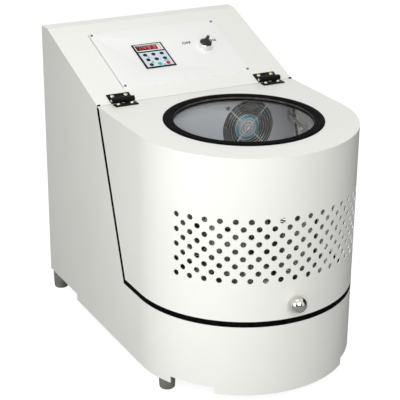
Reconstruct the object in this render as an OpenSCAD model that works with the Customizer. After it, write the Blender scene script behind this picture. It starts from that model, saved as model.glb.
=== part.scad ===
// Planetary ball mill: a sheet cabinet with a hinged hood over a turntable of four clamped jars.
// The origin is on the floor under the middle of the bounding box. X right, Y back, Z up, in mm.

/* [Cabinet] */
// Width of the cabinet, which is also the diameter of its round front
cabinet_width = 470; // [450:1:500]
// Turntable axis to the outside of the rear wall
rear_reach = 505; // [490:1:560]
// Height of the flat top above the floor
cabinet_height = 637; // [620:1:680]
// Depth of the flat strip behind the sloping panel
top_strip = 34; // [20:1:60]
// Height of the lower edge of the cabinet above the floor
skirt_height = 28; // [26:1:30]
// Rise of the cut-outs in the lower edge
skirt_notch = 15; // [10:1:17]
// Turntable axis to the start of the rear cut-out
notch_reach = 345; // [300:1:400]
// Angle from the front middle to the start of the cut-out on each side
notch_start = 39; // [25:0.5:45]
// Angle from the front middle to the end of the cut-out on each side
notch_end = 63.5; // [55:0.5:75]
// Thickness of the cabinet and hood sheet
sheet = 2; // [1.5:0.1:2.4]
// Width of the opening in the rear wall
service_width = 390; // [300:1:400]
// Height of the opening in the rear wall
service_height = 440; // [350:1:460]
// Height of the lower edge of that opening
service_bottom = 90; // [70:1:110]
// Overlap of the rear panel round its opening
panel_overlap = 16; // [12:1:20]

/* [Hood] */
// Height of the flat top of the hood
lid_height = 537; // [530:1:545]
// Turntable axis back to the hinge line
hinge_reach = 202; // [198:1:208]
// Turntable axis back to the lower end of the sloping edge
mouth_reach = 79; // [65:1:90]
// Height of the seal round the front
seal_height = 188; // [186:1:196]
// Height of the rubber seal between cabinet and hood
seal_band = 12.5; // [8:0.5:14]
// Width of the seal and of the lips that hold it
seal_width = 6.5; // [4:0.5:6.5]
// Gap between the hood's top and the sloping panel
lid_gap = 2.4; // [1:0.2:4]
// Depth of the hinge tab above the seal's upper end
tab_depth = 3; // [3:0.5:8]
// Angle that the hood opens to
lid_opening = 60; // [40:5:60]

/* [Window] */
// Inner radius of the rubber window ring
window_radius = 143; // [120:1:146]
// Width of the rubber ring
window_ring = 22; // [19:0.5:24]
// Height of the ring above the hood
ring_rise = 3; // [1:0.5:4]
// Thickness of the glass
glass_thickness = 5; // [3:0.5:6]
// Depth of the glass in the rubber
glass_bite = 7; // [4:0.5:8]

/* [Vent holes] */
// Angle that the vent holes and the knob are turned to the left of the front
front_turn = 2.3; // [0:0.1:3]
// Diameter of a vent hole
vent_diameter = 12; // [8:0.5:13]
// Height of the top row
vent_top = 407.4; // [390:0.2:430]
// Distance between rows
vent_row_step = 15.6; // [14:0.1:17]
// Rows of vent holes
vent_rows = 9; // [5:1:11]
// Vent holes in a long row
vent_columns = 17; // [9:2:19]
// Angle between two holes of a row
vent_pitch = 7.5; // [7:0.1:8.5]

/* [Knob] */
// Diameter of the ball knob
knob_diameter = 35; // [28:0.5:40]
// Height of the ball knob
knob_height = 230.4; // [222:0.2:250]
// Hood wall to the middle of the ball
knob_offset = 17; // [15:0.5:24]
// Diameter of the knob's neck
knob_neck = 14; // [10:0.5:18]
// Diameter of the knob's stud
knob_stud = 8; // [5:0.5:10]

/* [Hinges] */
// Side of the cabinet to the middle of a hinge
hinge_inset = 58; // [50:1:95]
// Width of a hinge
hinge_width = 52; // [40:1:60]
// Length of the leaf on the sloping panel from the pin
upper_leaf = 28; // [22:1:34]
// Length of the leaf on the hood from the pin
lower_leaf = 24; // [22:1:34]
// Thickness of a leaf
leaf_thickness = 2.5; // [1.5:0.1:3]
// Outer diameter of the knuckles
knuckle_diameter = 12; // [10:0.5:12]
// Diameter of the hinge pin
hinge_pin = 6; // [4:0.5:7]
// Height of the pin above the top of the hood
hinge_rise = 7; // [7:0.2:9]
// Distance between the two screws of a leaf
leaf_screw_spread = 31; // [24:1:38]
// Diameter of the leaf screws
leaf_screw = 4; // [3:0.5:5]
// Diameter of the leaf screw heads
leaf_screw_head = 9; // [6:0.5:10]

/* [Gas spring] */
// Side of the cabinet to the middle of the gas spring
spring_inset = 13; // [12.5:0.5:16]
// Turntable axis back to the hood stud
spring_lid_reach = 125; // [115:1:135]
// Height of the hood stud
spring_lid_height = 443; // [436:1:446]
// Angle from level down to the cabinet stud, seen from the hinge pin
spring_body_angle = 22.3; // [20:0.1:26]
// Outer diameter of the cylinder
spring_tube = 14; // [12:0.5:14]
// Bore of the cylinder
spring_bore = 10; // [9:0.1:11]
// Diameter of the rod
spring_rod = 8; // [6:0.5:8]
// Length of the cylinder from its stud
spring_tube_length = 110; // [100:1:112]
// Length of the rod from its stud
spring_rod_length = 164; // [158:1:170]
// Diameter of the end fittings
spring_eye = 15; // [13:0.5:17]
// Diameter of the studs
spring_stud = 8; // [6:0.5:9]

/* [Control panel] */
// Width of the control plate
plate_width = 310; // [300:1:330]
// Length of the control plate along the slope
plate_length = 200; // [190:1:205]
// Hinge line to the lower edge of the plate
plate_start = 46; // [40:1:50]
// Thickness of the control plate
plate_thickness = 1.5; // [1:0.1:2]
// Distance of the plate screws from its edges
plate_screw_inset = 6; // [5:0.5:8]
// Diameter of the plate screws
plate_screw = 3; // [2.5:0.5:4]

/* [Keypad] */
// Width of the keypad frame
keypad_width = 72; // [68:1:80]
// Length of the keypad frame along the slope
keypad_length = 88; // [84:1:95]
// Middle of the keypad, left of the middle of the cabinet
keypad_left = 41; // [35:1:50]
// Hinge line to the middle of the keypad
keypad_middle = 142.5; // [140:0.5:155]
// Height of the keypad frame above the plate
keypad_rise = 1.6; // [1.2:0.1:3]
// Depth of the drive unit behind the plate
drive_depth = 50; // [30:1:60]
// Diameter of a key
key_diameter = 9; // [7:0.2:10]
// Distance between keys across
key_step_x = 20.2; // [18:0.1:21]
// Distance between key rows
key_step_y = 18; // [14:0.1:19]
// Middle of the keypad up to the upper row of keys
key_top_row = 2.5; // [1:0.5:6]
// Height of a key above the frame
key_rise = 1.6; // [1:0.1:2.5]
// Travel of a key
key_travel = 0.8; // [0.5:0.1:1]

/* [Switch] */
// Middle of the cabinet to the selector switch
switch_right = 90; // [80:1:110]
// Hinge line to the selector switch
switch_middle = 150; // [140:1:160]
// Diameter of the collar
collar_diameter = 31; // [28:0.5:36]
// Height of the collar
collar_height = 12; // [8:0.5:14]
// Diameter of the threaded barrel
barrel_diameter = 22; // [18:0.5:24]
// Diameter of the selector skirt
skirt_diameter = 27; // [24:0.5:30]
// Height of the selector skirt
selector_skirt = 4; // [3:0.5:6]
// Length of the selector handle
handle_length = 25; // [24:1:30]
// Width of the selector handle
handle_width = 9; // [7:0.5:12]
// Height of the selector handle above its skirt
handle_height = 9; // [6:0.5:12]
// Angle from the ON mark to straight up the slope
switch_angle = 45; // [30:5:60]

/* [Chamber fan] */
// Side of the square fan
fan_size = 120; // [110:1:122]
// Depth of the fan
fan_depth = 38; // [30:1:40]
// Distance between the fan's mounting holes
fan_hole_spread = 104.8; // [100:0.1:106]
// Diameter of the opening in the wall
fan_opening = 126; // [116:1:128]
// Middle of the cabinet to the fan
fan_right = 114; // [104:1:130]
// Height of the middle of the fan
fan_height = 444; // [438:1:450]
// Diameter of the fan hub
fan_hub = 64; // [50:1:66]
// Blades of the fan
fan_blades = 7; // [5:1:9]
// Pitch of the guard's rings
guard_pitch = 6.2; // [5:0.1:8]
// Diameter of the guard wires
guard_wire = 2; // [1.6:0.1:2.4]
// Diameter of the fan screws
fan_screw = 4; // [3:0.5:4]

/* [Chamber] */
// Turntable axis back to the front of the chamber wall
wall_reach = 180; // [180:0.5:181]
// Height of the top of the chamber wall
wall_top = 525; // [515:1:527]
// Height where the corners of the wall turn in
wall_corner_height = 430; // [420:1:433]
// Side of the cabinet to the upper part of the wall
wall_upper_inset = 21; // [20:1:27]
// Height of the chamber floor
floor_height = 170; // [168:1:170]

/* [Base] */
// Diameter of a foot on the floor
foot_diameter = 33; // [24:1:36]
// Diameter of a foot at its top
foot_top = 36; // [28:1:36]
// Side of the cabinet to the middle of a front foot
foot_inset = 30; // [30:1:40]
// Side of the cabinet to the middle of a rear foot
rear_foot_inset = 18; // [18:1:40]
// Front feet ahead of the turntable axis
foot_front = 63; // [40:1:63]
// Rear feet behind the turntable axis
foot_rear = 487; // [460:1:487]
// Diameter of the foot studs
foot_stud = 10; // [8:1:12]
// Thickness of the base plate
base_thickness = 8; // [6:0.5:10]
// Diameter of the pillars under the bearing plate
pillar_diameter = 30; // [24:1:34]
// Turntable axis to the pillars
pillar_circle = 165; // [155:1:170]
// Thickness of the bearing plate
bearing_plate = 12; // [8:1:14]
// Radius of the bearing plate
bearing_plate_radius = 190; // [182:1:200]

/* [Main bearing] */
// Outer diameter of the bearing housing
housing_diameter = 104; // [100:1:110]
// Length of the housing below the chamber floor
housing_drop = 74; // [70:1:76]
// Outer diameter of the main bearings
bearing_outer = 90; // [85:1:92]
// Width of the main bearings
bearing_width = 20; // [16:0.5:22]
// Diameter of the main shaft
shaft_diameter = 50; // [44:1:52]
// Diameter of the shaft's upper seat in the turntable
shaft_seat = 40; // [32:1:42]

/* [Gears] */
// Module of the gears
gear_module = 2.5; // [2.5:0.1:2.5]
// Teeth of the fixed sun gear
sun_teeth = 60; // [60:4:60]
// Teeth of a jar gear
planet_teeth = 30; // [30:2:30]
// Width of the sun gear
sun_width = 16; // [12:0.5:16]
// Width of a jar gear
planet_width = 14; // [10:0.5:14]
// Bore of the sun gear
sun_bore = 62; // [56:1:70]
// Play between the teeth
gear_play = 0.3; // [0.2:0.05:0.5]

/* [Turntable] */
// Radius of the turntable
table_radius = 168; // [160:1:172]
// Thickness of the turntable
table_thickness = 16; // [12:0.5:18]
// Outer diameter of the jar bearings
jar_bearing = 52; // [47:1:56]
// Diameter of the bosses round the jar bearings
jar_boss = 76; // [70:1:80]
// Height of those bosses above the turntable
jar_boss_rise = 6; // [4:0.5:8]
// Diameter of a jar spindle
spindle_diameter = 25; // [20:1:30]
// Angle of the first station from the right
station_start = 45; // [0:5:90]

/* [Jar stations] */
// Outer diameter of a grinding jar
jar_diameter = 100; // [90:1:100]
// Height of a grinding jar without its lid
jar_height = 98; // [85:1:100]
// Wall thickness of a grinding jar
jar_wall = 7; // [4:0.5:10]
// Thickness of the jar lid
jar_lid = 10; // [8:0.5:12]
// Height of the raised middle of the lid
lid_boss_rise = 3; // [2:0.5:5]
// Thickness of the holder's base
holder_base = 8; // [6:0.5:10]
// Height of the holder's cup
holder_cup = 30; // [15:1:60]
// Wall thickness of the cup
cup_wall = 5.5; // [3:0.5:6]
// Thickness of the two posts
post_thickness = 10; // [8:0.5:10]
// Width of the two posts
post_width = 24; // [20:1:24]
// Width of the clamp bar
bar_width = 14; // [12:0.5:16]
// Height of the clamp bar
bar_height = 16; // [12:0.5:18]
// Thickness of the hooks above the bar
hook_thickness = 6; // [5:0.5:8]
// Diameter of the clamp screw
clamp_screw_diameter = 14; // [10:1:16]
// Lead of the clamp screw a turn
clamp_lead = 2; // [1.5:0.1:2]
// Turns that loosen the clamp
clamp_turns = 3; // [1:1:3]
// Diameter of the pressure pad
pad_diameter = 36; // [30:1:40]
// Thickness of the pressure pad
pad_thickness = 5; // [4:0.5:6]
// Diameter of the star handle
star_diameter = 50; // [40:1:56]
// Thickness of the star handle
star_thickness = 12; // [10:0.5:16]

/* [Motor and belts] */
// Turntable axis back to the motor
motor_reach = 330; // [325:1:340]
// Radius of the motor over its fins
motor_radius = 80; // [72:1:84]
// Length of the finned motor frame
motor_length = 200; // [180:1:220]
// Radius of the motor flange
motor_flange = 100; // [92:1:104]
// Cooling fins round the motor
motor_fins = 24; // [16:2:32]
// Diameter of the motor shaft
motor_shaft = 24; // [19:1:28]
// Height of the motor plate
motor_plate_height = 96; // [95:1:100]
// Radius of the driven pulley
driven_radius = 105; // [95:1:110]
// Radius of the motor pulley
drive_radius = 42; // [38:1:50]
// Gap between the base plate and the pulleys
pulley_gap = 7; // [6:1:9]
// Width of the pulleys
pulley_width = 32; // [30:1:34]
// Number of belts
belt_count = 2; // [1:1:2]
// Width of a belt
belt_width = 10; // [7:0.5:11]
// Thickness of a belt
belt_thickness = 8; // [5:0.5:8]

/* [Fits] */
// Gap between parts that move past each other
move_gap = 0.3; // [0.3:0.05:0.5]
// Radial gap of a running shaft
run_gap = 0.05; // [0.03:0.01:0.08]
// Radial gap of a screw in its hole
screw_gap = 0.3; // [0.2:0.05:0.5]
// Height of the small screw heads
screw_head = 2; // [1.5:0.1:2.5]

/* [Hidden] */
$fn = 96;

// What the cuts run past a face, so that no cut ends on it
cut = 1;
half_width = cabinet_width / 2;
front_tip = (half_width + knob_offset) * cos(front_turn) + knob_diameter / 2;
rear_tip = rear_reach + sheet + screw_head;
// The turntable axis in Y, which puts the origin under the middle of the box
axis_y = (front_tip - rear_tip) / 2;

// The sloping panel
slope_run = rear_reach - top_strip - hinge_reach;
slope_angle = atan2(cabinet_height - lid_height, slope_run);
function slope_z(y) = lid_height + (y - hinge_reach) * tan(slope_angle);
sheet_drop = sheet / cos(slope_angle);

// The sloping edge of the mouth, with its direction and the normal towards the hood
mouth_run = [hinge_reach - mouth_reach, lid_height - seal_height];
mouth_dir = mouth_run / norm(mouth_run);
mouth_normal = [-mouth_dir[1], mouth_dir[0]];
function mouth_y(shift, z) =
    mouth_reach + shift * mouth_normal[0]
    + (z - seal_height - shift * mouth_normal[1]) / mouth_dir[1] * mouth_dir[0];
half_band = seal_band / 2;
tab_z = lid_height - tab_depth;
far_front = -half_width - cut;

// The hinge pin, from the turntable axis and from the floor
pin_y = hinge_reach + 0.3;
pin_z = lid_height + hinge_rise;
knuckle_count = 5;
knuckle_radius = knuckle_diameter / 2;
knuckle_width = hinge_width / knuckle_count;
leaf_start = knuckle_radius + move_gap + 2.4;
upper_leaf_start = leaf_start + 2;
arm_start = 3;
upper_screw_edge = 6;
lower_screw_edge = 11.5;
pin_end = 0.8;
hinge_spread = half_width - hinge_inset;

// The gas spring: both studs are as far from the hinge pin, so the spring turns half as far as the hood
spring_radius = norm([spring_lid_reach - pin_y, spring_lid_height - pin_z]);
spring_spread = half_width - spring_inset;
spring_body_reach = pin_y + spring_radius * cos(spring_body_angle);
spring_body_height = pin_z - spring_radius * sin(spring_body_angle);
spring_angle = atan2(spring_body_height - spring_lid_height, spring_body_reach - spring_lid_reach);
eye_width = 12;
stud_plate = 3;
stud_plate_size = 28;

// Heights of the drive, from the floor up
notch_top = skirt_height + skirt_notch;
base_bottom = notch_top + 1;
base_top = base_bottom + base_thickness;
pulley_height = base_top + pulley_gap;
lock_nut = 3;
foot_height = base_bottom - lock_nut;
floor_top = floor_height + sheet;
flange_thickness = 8;
flange_radius = 75;
boss_radius = 62;
housing_top = floor_top + flange_thickness + 4;
housing_bottom = floor_height + 2 - housing_drop;
sun_bottom = housing_top;
sun_top = sun_bottom + sun_width;
planet_bottom = sun_bottom + (sun_width - planet_width) / 2;
planet_top = planet_bottom + planet_width;
table_bottom = sun_top + 4;
table_top = table_bottom + table_thickness;
boss_top = table_top + jar_boss_rise;
spindle_flange = 7;
holder_bottom = boss_top + 1 + spindle_flange;
jar_bottom = holder_bottom + holder_base;
jar_lid_bottom = jar_bottom + jar_height;
lid_boss_top = jar_lid_bottom + jar_lid + lid_boss_rise;
pad_bottom = lid_boss_top + move_gap;
pad_top = pad_bottom + pad_thickness;
clamp_travel = clamp_lead * clamp_turns;
bar_boss_bottom = pad_top + clamp_travel + 3.4;
bar_bottom = bar_boss_bottom + 4;
bar_top = bar_bottom + bar_height;
bar_boss_top = bar_top + 4;
bar_boss_radius = 16;
post_top = bar_top + hook_thickness;
star_clearance = 12;
star_bottom = bar_boss_top + star_clearance;
star_top = star_bottom + star_thickness;
cup_radius = jar_diameter / 2 + move_gap;
post_start = jar_diameter / 2 + 1.5;
post_end = post_start + post_thickness;
clamp_tip = 8;
tip_depth = 3.3;

// The gear pair and the circle that the jars run on
station_count = 4;
orbit = gear_module * (sun_teeth + planet_teeth) / 2;
pressure_angle = 20;
flank_steps = 4;

// The fan, measured back from the front of the chamber wall
wall_back = wall_reach + sheet;
fan_back = wall_back + fan_depth;
fan_bore = fan_size - 4;
rotor_radius = fan_bore / 2 - 2;
fan_spine = 5;
fan_shaft = 6;
guard_radius = fan_opening / 2 - 3;
guard_rings = floor(guard_radius / guard_pitch);
loop_radius = fan_screw / 2 + guard_wire / 2 + 0.6;

// The keypad face and the switch, measured out from the sloping panel
keypad_face = plate_thickness + keypad_rise;
drive_inset = 3;
key_length = 3.2;
key_bottom = keypad_face - key_length;
key_hole_depth = key_length + key_travel + move_gap;
key_rows = 3;
collar_top = plate_thickness + collar_height;
selector_stem = 8;
selector_base = collar_top + move_gap;
barrel_depth = 2 * sheet + 4;
switch_block = 29;
switch_block_depth = 42;

// The pulleys and the belts
shaft_end = 4;
belt_proud = 1;
groove_depth = belt_thickness + belt_proud + 2;
belt_step = pulley_width / (belt_count + 0.3);
motor_plate = 10;
motor_plate_size = 236;
motor_plate_top = motor_plate_height + motor_plate;
motor_flange_thickness = 12;
motor_flange_top = motor_plate_top + motor_flange_thickness;
motor_top = motor_flange_top + motor_length;
cowl_length = 42;

inlet_width = 48;
inlet_height = 28;
inlet_right = 140;
inlet_rise = 36;
inlet_z = service_bottom + inlet_rise;
slot_count = 12;
slot_width = 120;
slot_height = 5;
slot_step = 16;
slot_z = 300;

// The outline of cabinet and hood seen from above, drawn in by inset
module plan(inset, back_inset) {
    circle(r = half_width - inset);
    translate([inset - half_width, 0]) square([2 * (half_width - inset), rear_reach - back_inset]);
}

module prism(inset, back_inset, z0, z1) {
    translate([0, axis_y, z0]) linear_extrude(z1 - z0) plan(inset, back_inset);
}

// A side view outline, with Y from the turntable axis, run right across the cabinet
module side_slab(points) {
    translate([0, axis_y, 0]) rotate([90, 0, 90])
        linear_extrude(cabinet_width + 2 * cut, center = true) polygon(points);
}

// Children stand on the sloping panel: X across, Y up the slope, Z out of it
module on_slope(x, s, h = 0) {
    translate([x, axis_y + hinge_reach + s * cos(slope_angle), lid_height + s * sin(slope_angle)])
        rotate([slope_angle, 0, 0]) translate([0, 0, h]) children();
}

// A cylinder along Y from y0 to y1, both from the turntable axis
module rod_y(x, y0, y1, z, radius) {
    translate([x, axis_y + y0, z]) rotate([-90, 0, 0]) cylinder(r = radius, h = y1 - y0);
}

module rod_x(x0, x1, y, z, radius) {
    translate([x0, axis_y + y, z]) rotate([0, 90, 0]) cylinder(r = radius, h = x1 - x0);
}

module rod_z(x, y, z0, z1, radius) {
    translate([x, axis_y + y, z0]) cylinder(r = radius, h = z1 - z0);
}

module ring_z(y, z0, z1, outer, inner) {
    difference() {
        rod_z(0, y, z0, z1, outer);
        rod_z(0, y, z0 - cut, z1 + cut, inner);
    }
}

// Children are turned round the turntable axis, off the middle of the front
module at_front() {
    translate([0, axis_y, 0]) rotate(-front_turn) translate([0, -axis_y, 0]) children();
}

module block(x0, x1, y0, y1, z0, z1) {
    translate([x0, axis_y + y0, z0]) cube([x1 - x0, y1 - y0, z1 - z0]);
}

// The lip that follows the mouth: its near face lies shift from the seal's middle line
module mouth_strip(near, far, top) {
    near_z = seal_height + near;
    far_z = seal_height + far;
    side_slab([
        [mouth_y(near, top), top], [mouth_y(near, near_z), near_z], [far_front, near_z],
        [far_front, far_z], [mouth_y(far, far_z), far_z], [mouth_y(far, top), top]
    ]);
}

module mouth_ring(near, far, top) {
    intersection() {
        difference() {
            prism(0, 0, base_top, lid_height);
            prism(seal_width, -cut, base_top - cut, lid_height + cut);
        }
        mouth_strip(near, far, top);
    }
}

// Cabinet

module cabinet_outer() {
    front = hinge_reach + lid_gap / 2;
    low = seal_height - half_band;
    side_slab([
        [rear_reach + cut, skirt_height], [rear_reach + cut, cabinet_height],
        [rear_reach - top_strip, cabinet_height], [front, slope_z(front)], [front, tab_z],
        [mouth_y(-half_band, tab_z), tab_z], [mouth_y(-half_band, low), low],
        [far_front, low], [far_front, skirt_height]
    ]);
}

module cabinet_inner() {
    top = cabinet_height - sheet;
    top_y = hinge_reach + (top + sheet_drop - lid_height) / tan(slope_angle);
    low_y = hinge_reach - tab_depth;
    low = slope_z(low_y) - sheet_drop;
    side_slab([
        [rear_reach + cut, skirt_height - cut], [rear_reach + cut, top], [top_y, top],
        [low_y, low], [far_front - cut, low], [far_front - cut, skirt_height - cut]
    ]);
}

module drive_cutout(gap) {
    width = keypad_width - 2 * drive_inset + 2 * gap;
    length = keypad_length - 2 * drive_inset + 2 * gap;
    translate([-keypad_left, 0, 0]) on_slope(0, keypad_middle, -drive_depth - gap)
        translate([-width / 2, -length / 2, 0])
            cube([width, length, drive_depth + gap + plate_thickness + cut]);
}

module plate_screw_places() {
    for (side = [-1, 1])
        for (s = [plate_start + plate_screw_inset, plate_start + plate_length - plate_screw_inset])
            on_slope(side * (plate_width / 2 - plate_screw_inset), s) children();
}

module cabinet_leaf_places() {
    for (side = [-1, 1])
        for (end = [-1, 1])
            on_slope(side * hinge_spread + end * leaf_screw_spread / 2, upper_leaf - upper_screw_edge)
                children();
}

module rear_screw_places() {
    for (side = [-1, 1])
        for (level = [0, 0.5, 1])
            translate([
                side * (service_width / 2 + panel_overlap / 2), axis_y + rear_reach,
                service_bottom + level * service_height
            ]) rotate([90, 0, 0]) children();
}

module panel_holes() {
    plate_screw_places() translate([0, 0, -3 * sheet])
        cylinder(d = plate_screw + 2 * screw_gap, h = 5 * sheet);
    cabinet_leaf_places() translate([0, 0, -3 * sheet])
        cylinder(d = leaf_screw + 2 * screw_gap, h = 5 * sheet);
    on_slope(switch_right, switch_middle, -3 * sheet)
        cylinder(d = barrel_diameter + 2 * screw_gap, h = 5 * sheet);
    drive_cutout(screw_gap);
}

module spring_stud(side_face, y, z) {
    rod_x(spring_spread - eye_width / 2 - 1, side_face, y, z, spring_stud / 2);
    block(side_face - stud_plate, side_face + sheet / 2, y - stud_plate_size / 2,
        y + stud_plate_size / 2, z - stud_plate_size / 2, z + stud_plate_size / 2);
}

module skirt_wedge(side) {
    reach = 1.3 * half_width;
    middle = (notch_start + notch_end) / 2;
    translate([0, axis_y, skirt_height - cut]) linear_extrude(skirt_notch + cut) polygon(concat(
        [[0, 0]], [for (a = [notch_start, middle, notch_end]) reach * [side * sin(a), -cos(a)]]
    ));
}

module cabinet_shell() {
    color("white") {
        difference() {
            union() {
                difference() {
                    intersection() {
                        prism(0, 0, skirt_height, cabinet_height);
                        cabinet_outer();
                    }
                    intersection() {
                        prism(sheet, sheet, skirt_height - cut, cabinet_height);
                        cabinet_inner();
                    }
                }
                mouth_ring(-half_band, -half_band - sheet, tab_z - tab_depth);
                spring_stud(half_width - sheet, spring_body_reach, spring_body_height);
            }
            block(-half_width - cut, half_width + cut, notch_reach, rear_reach + cut,
                skirt_height - cut, notch_top);
            at_front() for (side = [-1, 1]) skirt_wedge(side);
            block(-service_width / 2, service_width / 2, rear_reach - 2 * sheet, rear_reach + cut,
                service_bottom, service_bottom + service_height);
            panel_holes();
            rear_screw_places() cylinder(d = plate_screw + 2 * screw_gap, h = 3 * sheet);
        }
    }
}

module rear_panel() {
    half = service_width / 2 + panel_overlap;
    color("white") difference() {
        block(-half, half, rear_reach, rear_reach + sheet, service_bottom - panel_overlap,
            service_bottom + service_height + panel_overlap);
        for (side = [-1, 1])
            for (i = [0 : slot_count - 1])
                translate([side * service_width / 4 - slot_width / 2, axis_y + rear_reach - cut,
                    slot_z + i * slot_step]) cube([slot_width, sheet + 2 * cut, slot_height]);
        block(inlet_right - inlet_width / 2, inlet_right + inlet_width / 2, rear_reach - cut,
            rear_reach + sheet + cut, inlet_z - inlet_height / 2, inlet_z + inlet_height / 2);
        rear_screw_places() translate([0, 0, -2 * sheet])
            cylinder(d = plate_screw + 2 * screw_gap, h = 5 * sheet);
    }
}

module power_inlet() {
    flange = 4;
    depth = 30;
    pin_room = 16;
    color("black") difference() {
        union() {
            block(inlet_right - inlet_width / 2 - flange, inlet_right + inlet_width / 2 + flange,
                rear_reach + sheet, rear_tip, inlet_z - inlet_height / 2 - flange,
                inlet_z + inlet_height / 2 + flange);
            block(inlet_right - inlet_width / 2 + screw_gap, inlet_right + inlet_width / 2 - screw_gap,
                rear_reach + sheet - depth, rear_reach + sheet, inlet_z - inlet_height / 2 + screw_gap,
                inlet_z + inlet_height / 2 - screw_gap);
        }
        block(inlet_right - 12, inlet_right + 12, rear_tip - pin_room, rear_tip + cut,
            inlet_z - 8, inlet_z + 8);
    }
}

module base_frame() {
    leg = 20;
    leg_place = motor_plate_size / 2 - leg;
    color("dimgray") {
        difference() {
            prism(sheet, sheet, base_bottom, base_top);
            foot_places() cylinder(d = foot_stud + 2 * screw_gap, h = base_top + cut);
        }
        for (i = [0 : 3])
            translate([0, axis_y, base_top]) rotate(45 + 90 * i) translate([pillar_circle, 0, 0])
                cylinder(d = pillar_diameter, h = floor_height - bearing_plate - base_top);
        difference() {
            rod_z(0, 0, floor_height - bearing_plate, floor_height, bearing_plate_radius);
            rod_z(0, 0, floor_height - bearing_plate - cut, floor_height + cut, housing_diameter / 2);
        }
        for (side = [-1, 1])
            for (end = [-1, 1])
                rod_z(side * leg_place, motor_reach + end * leg_place, base_top, motor_plate_height,
                    leg / 2);
        difference() {
            block(-motor_plate_size / 2, motor_plate_size / 2, motor_reach - motor_plate_size / 2,
                motor_reach + motor_plate_size / 2, motor_plate_height, motor_plate_top);
            rod_z(0, motor_reach, motor_plate_height - cut, motor_plate_top + cut, motor_shaft);
        }
    }
}

module foot_places() {
    for (side = [-1, 1]) {
        translate([side * (half_width - foot_inset), axis_y - foot_front, 0]) children();
        translate([side * (half_width - rear_foot_inset), axis_y + foot_rear, 0]) children();
    }
}

module feet() {
    nut_height = 8;
    nut_size = 1.8 * foot_stud;
    edge = 3;
    color("silver") foot_places() {
        rotate_extrude() polygon([
            [0, 0], [foot_diameter / 2 - edge, 0], [foot_diameter / 2, edge],
            [foot_top / 2, foot_height], [0, foot_height]
        ]);
        cylinder(d = foot_stud, h = base_top + nut_height + 4);
        translate([0, 0, foot_height]) cylinder(d = nut_size, h = lock_nut, $fn = 6);
        translate([0, 0, base_top]) cylinder(d = nut_size, h = nut_height, $fn = 6);
    }
}

module chamber_wall() {
    side = half_width - sheet;
    wall_upper_half = half_width - wall_upper_inset;
    corner_top = wall_corner_height + side - wall_upper_half;
    color("lightslategray") difference() {
        translate([0, axis_y + wall_back, 0]) rotate([90, 0, 0]) linear_extrude(sheet) polygon([
            [-side, floor_top], [side, floor_top], [side, wall_corner_height],
            [wall_upper_half, corner_top], [wall_upper_half, wall_top],
            [-wall_upper_half, wall_top], [-wall_upper_half, corner_top], [-side, wall_corner_height]
        ]);
        rod_y(fan_right, wall_reach - cut, wall_back + cut, fan_height, fan_opening / 2);
        fan_screw_places(wall_reach - cut) cylinder(d = fan_screw + 2 * screw_gap, h = sheet + 2 * cut);
    }
}

module chamber_floor() {
    color("lightslategray") difference() {
        intersection() {
            prism(sheet, 0, floor_height, floor_top);
            block(-half_width, half_width, -half_width, wall_back, floor_height - cut, floor_top + cut);
        }
        rod_z(0, 0, floor_height - cut, floor_top + cut, housing_diameter / 2);
    }
}

module rim_seal() {
    color("black") mouth_ring(-half_band, half_band - move_gap, tab_z - move_gap);
}

// Controls

module control_plate() {
    color("white") difference() {
        on_slope(0, plate_start) translate([-plate_width / 2, 0, 0])
            cube([plate_width, plate_length, plate_thickness]);
        panel_holes();
    }
}

module key_place(i) {
    column = i % key_rows;
    row = floor(i / key_rows);
    on_slope(-keypad_left + (column - 1) * key_step_x, keypad_middle + key_top_row - row * key_step_y)
        children();
}

module inverter() {
    display_width = 54;
    display_length = 19;
    display_middle = keypad_middle + 29;
    display_depth = 1.2;
    color("black") difference() {
        union() {
            drive_cutout(0);
            on_slope(-keypad_left, keypad_middle, plate_thickness)
                translate([-keypad_width / 2, -keypad_length / 2, 0])
                    cube([keypad_width, keypad_length, keypad_rise]);
        }
        on_slope(-keypad_left, display_middle, keypad_face - display_depth)
            translate([-display_width / 2, -display_length / 2, 0])
                cube([display_width, display_length, display_depth + cut]);
        for (i = [0 : 8])
            key_place(i) translate([0, 0, keypad_face - key_hole_depth])
                cylinder(d = key_diameter + 2 * move_gap, h = key_hole_depth + cut);
    }
}

module key(i) {
    cap = 0.6;
    straight = keypad_face + key_rise - cap - key_bottom;
    color(i == 8 ? "red" : i == 7 ? "teal" : "navy") key_place(i) translate([0, 0, key_bottom]) {
        cylinder(d = key_diameter, h = straight);
        translate([0, 0, straight]) cylinder(d1 = key_diameter, d2 = key_diameter - 2 * cap, h = cap);
    }
}

module switch_body() {
    stem_depth = 12;
    color("silver") on_slope(switch_right, switch_middle) difference() {
        union() {
            translate([0, 0, plate_thickness]) cylinder(d = collar_diameter, h = collar_height);
            translate([0, 0, -barrel_depth])
                cylinder(d = barrel_diameter, h = barrel_depth + plate_thickness);
            translate([-switch_block / 2, -switch_block / 2, -barrel_depth - switch_block_depth])
                cube([switch_block, switch_block, switch_block_depth]);
        }
        translate([0, 0, collar_top - stem_depth])
            cylinder(d = selector_stem + 2 * run_gap, h = stem_depth + cut);
    }
}

// The handle at rest points to ON, so it turns switch_angle off the line up the slope
module selector_knob() {
    skirt_top = selector_base + selector_skirt;
    tail = handle_length / 3;
    color("black") on_slope(switch_right, switch_middle) {
        translate([0, 0, collar_top - 10]) cylinder(d = selector_stem, h = 10 + move_gap + 1);
        translate([0, 0, selector_base]) cylinder(d = skirt_diameter, h = selector_skirt);
        rotate(-switch_angle) translate([-handle_width / 2, -tail, skirt_top - 1])
            cube([handle_width, handle_length, handle_height + 1]);
    }
}

// Chamber fan

module fan_screw_places(y) {
    for (side = [-1, 1])
        for (end = [-1, 1])
            translate([fan_right + side * fan_hole_spread / 2, axis_y + y,
                fan_height + end * fan_hole_spread / 2]) rotate([-90, 0, 0]) children();
}

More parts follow.
